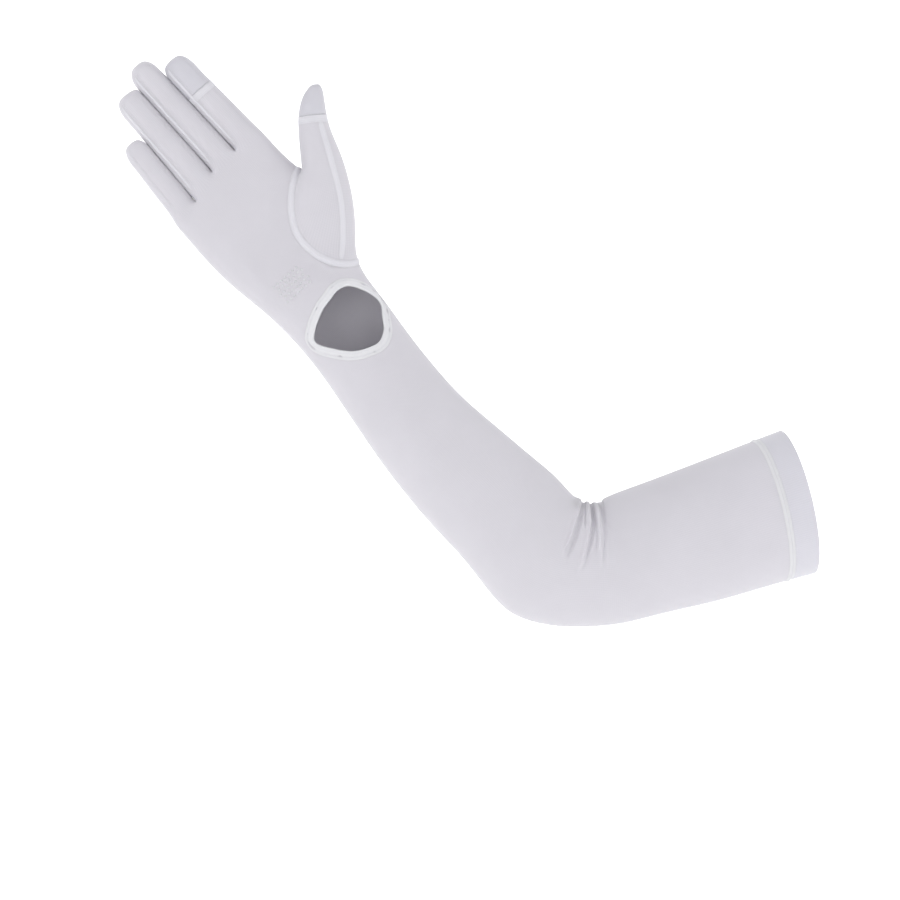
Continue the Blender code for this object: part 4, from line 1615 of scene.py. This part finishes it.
class GLOVE_OT_hem(bpy.types.Operator):
    """Builds the doubled band at the open end of the sleeve"""

    bl_idname = "glove.hem"
    bl_label = "Hem band"

    def execute(self, context):
        jersey = "doubled_nylon_jersey"
        build_walled("folded_hem", HEM, jersey, "hem_band", DOUBLED_CLOTH)
        return {"FINISHED"}


class GLOVE_OT_binding(bpy.types.Operator):
    """Builds the folded binding round the opening at the wrist"""

    bl_idname = "glove.binding"
    bl_label = "Wrist binding"

    def execute(self, context):
        pucker = context.scene.glove_sizes.pucker
        mesh = binding_mesh(Form.tree(), BINDING_ROUND, CUT_SAMPLES, pucker)
        material = cloth_material("folded_nylon_rib")
        add_piece("folded_binding", mesh, material, ("wrist_binding",))
        return {"FINISHED"}


class GLOVE_OT_seams(bpy.types.Operator):
    """Raises the seams' soft ridges: round the thumb's root, along the thumb and at the hem"""

    bl_idname = "glove.seams"
    bl_label = "Seam ridges"

    def execute(self, context):
        sizes = context.scene.glove_sizes
        surface, tree = Form.surface(FORM_LEVEL), Form.tree()
        sewn, folded = cloth_material("seamed_nylon_jersey"), cloth_material("folded_nylon_rib")

        def add_ridge(name, line, closed, width, height, material=sewn):
            path = even_path(line, closed, SEAM_SPACING)
            add_piece(name, seam_strip(tree, path, width, height, closed), material)

        wide, high = sizes.seam_width, sizes.seam_height
        root = softened(border_path(surface, BODY, THUMB), ROOT_SOFTENING)
        add_ridge("thumb_root_seam", root, True, wide, high)
        ridge = [on_front(tree, right / 1000.0, up / 1000.0) for right, up in THUMB_RIDGE]
        ridge = curve_through(ridge, False, RIDGE_SAMPLES)
        add_ridge("thumb_long_seam", ridge, False, wide, high * LOW_SEAM)
        hem = border_path(surface, BODY, HEM)
        add_ridge("hem_seam", hem, True, wide, high * LOW_SEAM, folded)
        for place, name in enumerate(CLOSED_FINGERS):
            line = finger_seam(tree, place, CLOSING_ANGLE)
            add_ridge(name, line, False, CLOSING_WIDTH, CLOSING_HEIGHT)
        for name, first, second, breadth in PANEL_BANDS:
            edge = border_path(surface, first, second)
            axis = border_axis(edge, sum(edge, Vector()) / len(edge))
            line = [point - axis * breadth * BAND_OFFSET for point in edge]
            add_ridge(name, line, True, breadth, BAND_HEIGHT)
        return {"FINISHED"}


class GLOVE_OT_stitches(bpy.types.Operator):
    """Sews the fingers' side seams, the hem, the binding and the touch panels"""

    bl_idname = "glove.stitches"
    bl_label = "Stitches"

    def execute(self, context):
        sizes = context.scene.glove_sizes
        surface, tree = Form.surface(FORM_LEVEL), Form.tree()
        length, radius = sizes.stitch_length, sizes.thread_radius
        thread = cloth_material("spun_polyester_thread")
        fine, swing = length * FINE_STITCH, length * FINGER_ZIGZAG
        mesh = bmesh.new()
        for place in range(len(FINGERS)):
            for angle in SEAM_ANGLES:
                path = finger_seam(tree, place, angle)
                stitch_row(mesh, tree, path, False, fine, radius, swing)
        add_piece("finger_stitches", mesh, thread)
        mesh = bmesh.new()
        for first, second in ((THUMB, THUMB_TIP), (BODY, INDEX_TIP)):
            path = border_path(surface, first, second)
            stitch_row(mesh, tree, path, True, fine, radius, length * PANEL_ZIGZAG)
        add_piece("panel_stitches", mesh, thread)
        mesh = bmesh.new()
        path = border_path(surface, BODY, HEM)
        lift = sizes.seam_height * LOW_SEAM
        stitch_row(mesh, tree, path, True, length * HEM_STITCH, radius, lift=lift)
        add_piece("hem_stitches", mesh, thread)
        mesh = bmesh.new()
        widen = BINDING_WIDTH * BINDING_STITCH_PLACE
        path = [spoke[2] for spoke in opening_spokes(tree, widen, BINDING_STITCH_SAMPLES)]
        stitch_row(mesh, tree, path, True, length, radius, lift=BINDING_STITCH_LIFT)
        add_piece("binding_stitches", mesh, thread)
        return {"FINISHED"}


class GLOVE_OT_grip_dots(bpy.types.Operator):
    """Prints a small patch of raised dots at the heel of the palm"""

    bl_idname = "glove.grip_dots"
    bl_label = "Grip dots"

    def execute(self, context):
        sizes = context.scene.glove_sizes
        tree = Form.tree()
        mesh = bmesh.new()
        for row in range(DOT_ROWS):
            for column in range(DOT_COLUMNS):
                along = (row - (DOT_ROWS - 1) / 2.0) * sizes.dot_pitch
                across = (column - (DOT_COLUMNS - 1) / 2.0 + (row % 2) / 2.0) * sizes.dot_pitch
                spot = HAND_AXIS * along + HAND_SIDE * across
                point = on_front(tree, DOTS_RIGHT + spot.x, DOTS_UP + spot.z)
                place, normal = surface_frame(tree, point)
                add_dot(mesh, place, normal, sizes.dot_radius, sizes.dot_height)
        material = cloth_material("printed_silicone_dots")
        add_piece("palm_grip_dots", mesh, material)
        return {"FINISHED"}


def add_dot(mesh, place, normal, radius, height):
    """A low dome on the cloth, with a flat underside just inside it."""
    side = normal.orthogonal().normalized()
    other = normal.cross(side)
    rings = []
    for step in range(DOT_RINGS):
        tilt = math.pi / 2.0 * step / DOT_RINGS
        reach = radius * math.cos(tilt)
        centre = place + normal * (height * math.sin(tilt) - SEAM_SINK)
        rings.append(round_corners(mesh, centre, side * reach, other * reach, DOT_SIDES))
    top = mesh.verts.new(place + normal * (height - SEAM_SINK))
    for near, far in zip(rings, rings[1:]):
        skin(mesh, near, far)
    fan(mesh, rings[-1], top)
    mesh.faces.new(list(reversed(rings[0])))


class GLOVE_OT_stage(bpy.types.Operator):
    """Sets the pale floor with its curved cove, the soft lights and the camera"""

    bl_idname = "glove.stage"
    bl_label = "Studio"

    def execute(self, context):
        colours = context.scene.glove_colours
        cove = build_cove(stage_material("matt_studio_paint", colours.studio))
        for name, size, energy, place, aim in STUDIO_LIGHTS:
            add_light(name, size, energy, Vector(place), Vector(aim))
        world = bpy.data.worlds.new("studio_air")
        world.use_nodes = True
        air = world.node_tree.nodes["Background"]
        air.inputs["Color"].default_value = (*linear(AIR_COLOUR), 1.0)
        air.inputs["Strength"].default_value = AIR_STRENGTH
        context.scene.world = world
        data = bpy.data.cameras.new("view")
        data.lens = SENSOR * CAMERA_DISTANCE / FRAME_WIDTH
        data.sensor_width = SENSOR
        data.clip_end = CAMERA_REACH
        camera = bpy.data.objects.new("view", data)
        camera.location = (FRAME_RIGHT, ELBOW.y - CAMERA_DISTANCE, FRAME_UP)
        camera.rotation_euler = (math.pi / 2.0, 0.0, 0.0)
        context.scene.collection.objects.link(camera)
        context.scene.camera = camera
        context.scene.view_settings.view_transform = "Standard"
        return {"FINISHED"}


def build_cove(material):
    """A round floor whose edge curves up into a low wall, as one smooth turned surface."""
    flat = FLOOR_RADIUS - COVE_RADIUS
    profile = [(flat, 0.0)]
    for step in range(1, COVE_STEPS + 1):
        angle = math.pi / 2.0 * step / COVE_STEPS
        profile.append((
            flat + COVE_RADIUS * math.sin(angle), COVE_RADIUS - COVE_RADIUS * math.cos(angle)
        ))
    profile.append((FLOOR_RADIUS, WALL_HEIGHT))
    mesh = bmesh.new()
    middle = mesh.verts.new((FRAME_RIGHT, 0.0, FLOOR_HEIGHT))
    rings = []
    for reach, rise in profile:
        centre = middle.co + Vector((0.0, 0.0, rise))
        right, back = Vector((reach, 0.0, 0.0)), Vector((0.0, reach, 0.0))
        rings.append(round_corners(mesh, centre, right, back, COVE_SIDES))
    fan(mesh, rings[0], middle)
    for near, far in zip(rings, rings[1:]):
        skin(mesh, far, near)
    cove = new_object("studio_cove", mesh)
    cove.data.materials.append(material)
    return cove


def add_light(name, size, energy, place, aim):
    data = bpy.data.lights.new(name, "AREA")
    data.shape = "SQUARE"
    data.size = size
    data.energy = energy
    lamp = bpy.data.objects.new(name, data)
    lamp.location = place
    lamp.rotation_euler = (aim - place).to_track_quat("-Z", "Y").to_euler()
    lamp.visible_camera = False
    bpy.context.scene.collection.objects.link(lamp)


class GLOVE_PT_panel(bpy.types.Panel):
    """Lists the glove's pieces and its sizes and colours"""

    bl_idname = "GLOVE_PT_panel"
    bl_label = "Long driving glove"
    bl_space_type = "VIEW_3D"
    bl_region_type = "UI"
    bl_category = "Glove"

    def draw(self, context):
        layout = self.layout
        for operator in OPERATORS:
            layout.operator(operator.bl_idname)
        for group in (context.scene.glove_sizes, context.scene.glove_colours):
            box = layout.box()
            for name in group.__annotations__:
                box.prop(group, name)


OPERATORS = (
    GLOVE_OT_body,
    GLOVE_OT_thumb,
    GLOVE_OT_touch_panels,
    GLOVE_OT_hem,
    GLOVE_OT_binding,
    GLOVE_OT_seams,
    GLOVE_OT_stitches,
    GLOVE_OT_grip_dots,
    GLOVE_OT_stage,
)
CLASSES = (GloveSizes, GloveColours, *OPERATORS, GLOVE_PT_panel)


def register():
    for item in CLASSES:
        bpy.utils.register_class(item)
    bpy.types.Scene.glove_sizes = PointerProperty(type=GloveSizes)
    bpy.types.Scene.glove_colours = PointerProperty(type=GloveColours)


def unregister():
    del bpy.types.Scene.glove_colours
    del bpy.types.Scene.glove_sizes
    for item in reversed(CLASSES):
        bpy.utils.unregister_class(item)


def main():
    register()
    bpy.ops.glove.body()
    bpy.ops.glove.thumb()
    bpy.ops.glove.touch_panels()
    bpy.ops.glove.hem()
    bpy.ops.glove.binding()
    bpy.ops.glove.seams()
    bpy.ops.glove.stitches()
    bpy.ops.glove.grip_dots()
    bpy.ops.glove.stage()


if __name__ == "__main__":
    main()
